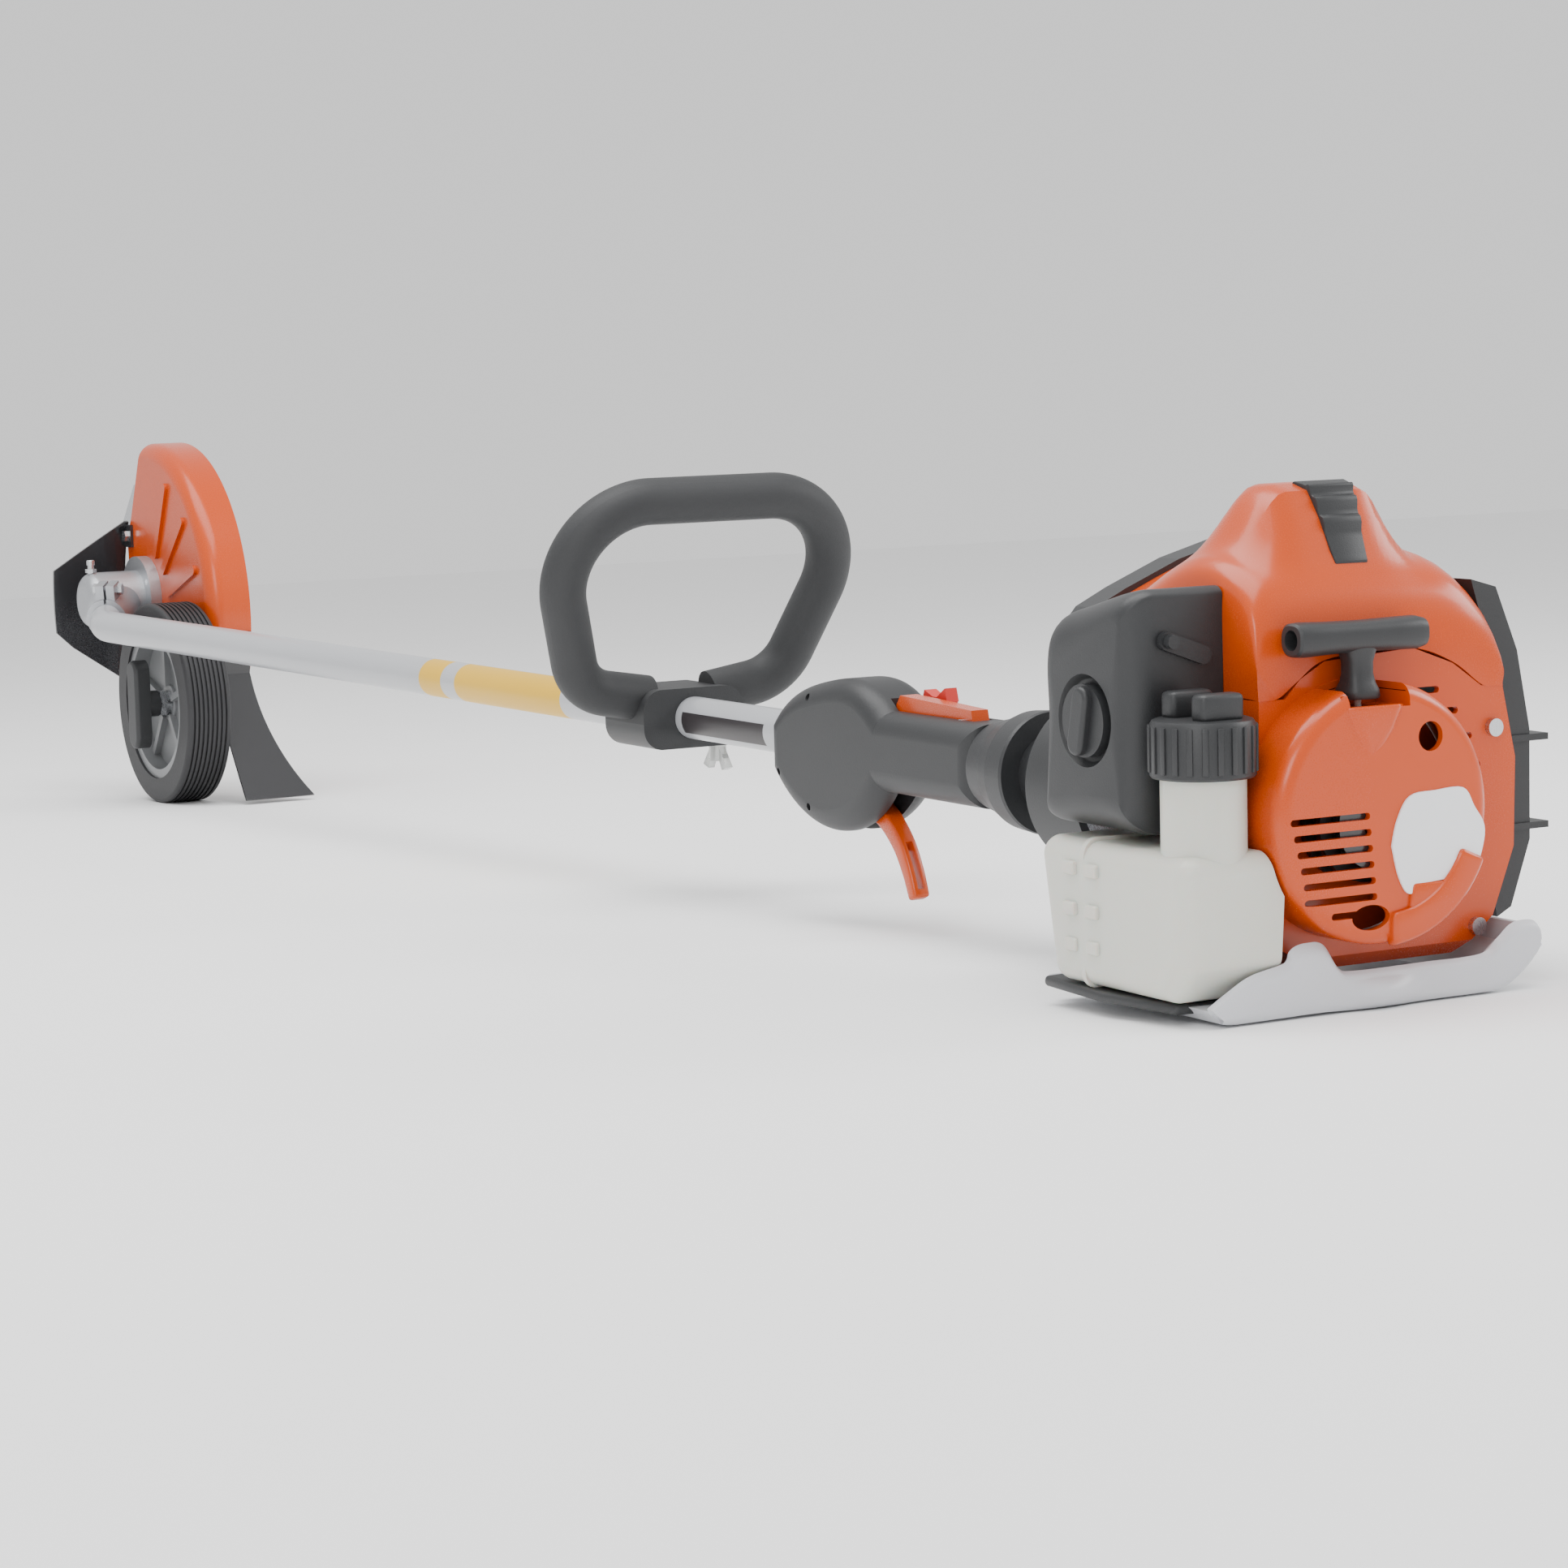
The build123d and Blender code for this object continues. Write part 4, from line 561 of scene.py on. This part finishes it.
ring_of_ribs("Cap grip ribs", 22, 22.9, (cap_x, cap_y, 36.5), (1.4, 2.6, 20.0), "dark_plastic", "fuel_cap")

# ---------------------------------------------------------------- tank seam tabs
for y, z in ((-98.2, -20), (-98.2, -38), (-97.5, -54)):
    tabs = [rounded(prism("Tank seam tab", [(x, z - 3), (x + 9, z - 3), (x + 9, z + 3), (x, z + 3)],
                          y - 1.2, y + 4, "y"), 1.2, 3, 30) for x in (163, 180)]
    settle(merged(tabs[0], tabs[1:]), "tank_plastic", "machine")

# ---------------------------------------------------------------- plain label bands on the tube
BAND_EDGE, BAND_OUTSIDE, BAND_INSIDE = 12.01, 12.04, 11.6      # radii; the tube's own is 12
for band_from, band_to, slot_name, begin, reach in ((-715, -682, "label_yellow", 90, 200),
                                                    (-661, -511, "label_yellow", 90, 200),
                                                    (-356, -262, "label_dark", 158, 60)):
    band_rings = []
    for x in (band_from, band_from + 0.6, band_to - 0.6, band_to):
        lift = BAND_EDGE if x in (band_from, band_to) else BAND_OUTSIDE
        outer = [(x, lift * cos(radians(a)), lift * sin(radians(a))) for a in range(begin, begin + reach + 1, 5)]
        inner = [(x, BAND_INSIDE * cos(radians(a)), BAND_INSIDE * sin(radians(a)))
                 for a in range(begin + reach, begin - 1, -5)]
        band_rings.append(outer + inner)
    settle(loft("Tube label", band_rings), slot_name, "machine")

# ---------------------------------------------------------------- bracket under the tank
bracket = prism("Tank bracket", [(136, -92), (190, -97), (236, -90), (240, -50), (150, -46), (134, -60)],
                -77.5, -72.6, "z")
settle(rounded(bracket, 2.0, 3, 20), "dark_plastic", "machine")

# ---------------------------------------------------------------- skid rim with its three scallops
RIM_TOP = [(-84, -74), (-74, -68), (-62, -62), (-44, -58), (-40, -52), (-33, -50.5), (-25, -52), (-17, -63),
           (-8, -65.5), (30, -65.5), (62, -65), (72, -58.5), (79, -53), (86, -52), (92, -53.5), (93.5, -60)]
RIM_LOW = [(-78, -78.5), (-72, -79.4), (-62, -79.6), (-46, -79.6), (-38, -79.6), (-33, -79.6), (-25, -79.6),
           (-17, -79.6), (-8, -79.6), (30, -79.6), (62, -79.6), (72, -79), (79, -76), (86, -71), (91, -66),
           (93.5, -62)]
RIM_STEPS, RIM_POINTS = 16, 120
rim_rows = []
for share in [step / RIM_STEPS for step in range(RIM_STEPS + 1)]:
    row = []
    for (y1, z1), (y0, z0) in zip(curve_through(RIM_TOP, RIM_POINTS), curve_through(RIM_LOW, RIM_POINTS)):
        y, z = y0 + (y1 - y0) * share, z0 + (z1 - z0) * share
        scallop = max(0.0, cos(pi * (y - 6) / 50)) ** 2 if -70 < y < 82 else 0.0
        bulge = 1.4 + 6.4 * scallop * max(0.0, sin(pi * min(1.0, (z + 80.5) / 12.5)))
        row.append((252 + bulge - 3.0 * ease(share, 0.86, 1.05) - 1.2 * ease(0.1 - share, 0.0, 0.1), y, z))
    rim_rows.append(row)
rim = loft("Skid rim", rim_rows, closed=False)
face_outward(rim)
rim = apply_modifier(rim, "SOLIDIFY", thickness=3.2, offset=0)
settle(rim, "white_plastic", "machine", sharp=50)

# ---------------------------------------------------------------- throttle trigger, a bent loop
TRIGGER_STEPS = 22
trigger_line = curve_through([(-166, -30), (-150, -37), (-136, -49), (-127, -63), (-121.5, -76)], TRIGGER_STEPS)


def trigger_ring(index, half_depth, half_width):
    """A square cross section of the trigger, set square to its curve."""
    x, z = trigger_line[index]
    before, after = trigger_line[max(0, index - 1)], trigger_line[min(TRIGGER_STEPS - 1, index + 1)]
    length = hypot(after[0] - before[0], after[1] - before[1])
    out_x, out_z = -(after[1] - before[1]) / length, (after[0] - before[0]) / length
    return [(x + out_x * half_depth * a, half_width * b, z + out_z * half_depth * a)
            for a, b in ((1, -1), (1, 1), (-1, 1), (-1, -1))]


trigger = rounded(loft("Throttle trigger", [trigger_ring(i, 6.2 - 0.12 * i, 4.8) for i in range(TRIGGER_STEPS)]),
                  2.0, 3, 35)
window = loft("Trigger window", [trigger_ring(i, 20, 1.9) for i in range(11, 20)])
cut(trigger, [window])
merged(trigger, [rounded(turned("Trigger hub", [(-4.8, 2.6), (-4.8, 6.5), (4.8, 6.5), (4.8, 2.6)], (-168, -27),
                                "y", 40), 0.8, 2, 40)])
settle(trigger, "orange_plastic", "trigger", "throttle_trigger")

# ---------------------------------------------------------------- starter handle
bar_rings = []
for y, wide, high in ((-35, 13.5, 12.5), (-34, 15.5, 14.5), (-30, 16.2, 15.2), (-18, 16.0, 14.2), (0, 15.6, 13.6),
                      (18, 16.0, 14.2), (30, 15.6, 14.6), (34, 13.8, 12.6), (35, 11.0, 10.0)):
    bar_rings.append([(x, y, z) for x, z in oval(wide, high, (246, 80), 40, 2.7)])
bar = loft("Starter handle", bar_rings)
cut(bar, [turned("Bar hollow", [(-37, 4.6), (-20, 3.6)], (246, 80), "y", 32)])
stem_rings = []
for z, deep, wide in ((53.2, 17.2, 16.4), (54.2, 18, 17.2), (57, 17.4, 16.6), (60, 14.2, 14.0), (64, 12.2, 12.4),
                      (69, 11.8, 12.6), (73, 12.6, 15.5), (77, 13.2, 20)):
    stem_rings.append([(x, y, z) for x, y in oval(deep, wide, (246, 0), 40, 3.0)])
merged(bar, [loft("Stem", stem_rings)])
settle(bar, "dark_plastic", "starter_grip", "starter_handle", sharp=38)

# ---------------------------------------------------------------- starter rope, twisted from three strands
ROPE_X, ROPE_LOW, ROPE_HEIGHT, ROPE_STEPS, ROPE_CORNERS = 246, 27.5, 26, 64, 18
rope_rings = []
for step in range(ROPE_STEPS):
    z = ROPE_LOW + ROPE_HEIGHT * step / (ROPE_STEPS - 1)
    ring = []
    for corner in range(ROPE_CORNERS):
        angle = 2 * pi * corner / ROPE_CORNERS
        radius = 1.45 + 0.3 * abs(cos(1.5 * (angle - z * 0.9)))
        ring.append((ROPE_X + radius * cos(angle), radius * sin(angle), z))
    rope_rings.append(ring)
rope = settle(loft("Starter rope", rope_rings), "rope_fibre", "machine", "starter_rope")
rope.parent = None
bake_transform(rope)

# ---------------------------------------------------------------- studio
floor_mesh = bpy.data.meshes.new("Studio floor")
floor_mesh.from_pydata([(-6, -6, 0), (6, -6, 0), (6, 6, 0), (-6, 6, 0)], [], [(0, 1, 2, 3)])
studio_floor = bpy.data.objects.new("Studio floor", floor_mesh)
bpy.context.scene.collection.objects.link(studio_floor)
floor_mesh.materials.append(moulded("White studio paper", (0.93, 0.93, 0.93), (0.91, 0.91, 0.91), 0.9, 0.02,
                                    40, 0.00001))

world = bpy.data.worlds.new("Studio light")
world.use_nodes = True
world.node_tree.nodes["Background"].inputs[0].default_value = (1, 1, 1, 1)
world.node_tree.nodes["Background"].inputs[1].default_value = 1.0
bpy.context.scene.world = world


def softbox(name, place, aim, size, power):
    """A rectangular area light at one point, aimed at another."""
    lamp = bpy.data.lights.new(name, "AREA")
    lamp.shape = "RECTANGLE"
    lamp.size, lamp.size_y = size
    lamp.energy = power
    holder = bpy.data.objects.new(name, lamp)
    holder.location = place
    holder.rotation_euler = (Vector(aim) - Vector(place)).to_track_quat("-Z", "Y").to_euler()
    bpy.context.scene.collection.objects.link(holder)


softbox("Overhead softbox", (0.3, -0.4, 2.3), (0.1, 0, 0.1), (3.0, 1.6), 80)
softbox("Front softbox", (2.6, -2.2, 1.6), (0.3, 0, 0.12), (1.2, 1.2), 30)
softbox("Edge softbox", (1.4, 2.2, 1.3), (0.5, 0, 0.12), (1.4, 0.8), 26)

# ---------------------------------------------------------------- camera
lens = bpy.data.cameras.new("Catalogue camera")
lens.lens = 91.3
lens.sensor_width = 36.0
camera = bpy.data.objects.new("Catalogue camera", lens)
right, up, ahead = (0.4896, 0.8709, -0.0424), (-0.0527, 0.0782, 0.9955), (-0.8704, 0.4851, -0.0843)
turn = Matrix((right, up, tuple(-v for v in ahead))).transposed()
camera.matrix_world = Matrix.Translation((2.2313, -1.0613, 0.2532)) @ turn.to_4x4()
bpy.context.scene.collection.objects.link(camera)
bpy.context.scene.camera = camera

write_size()
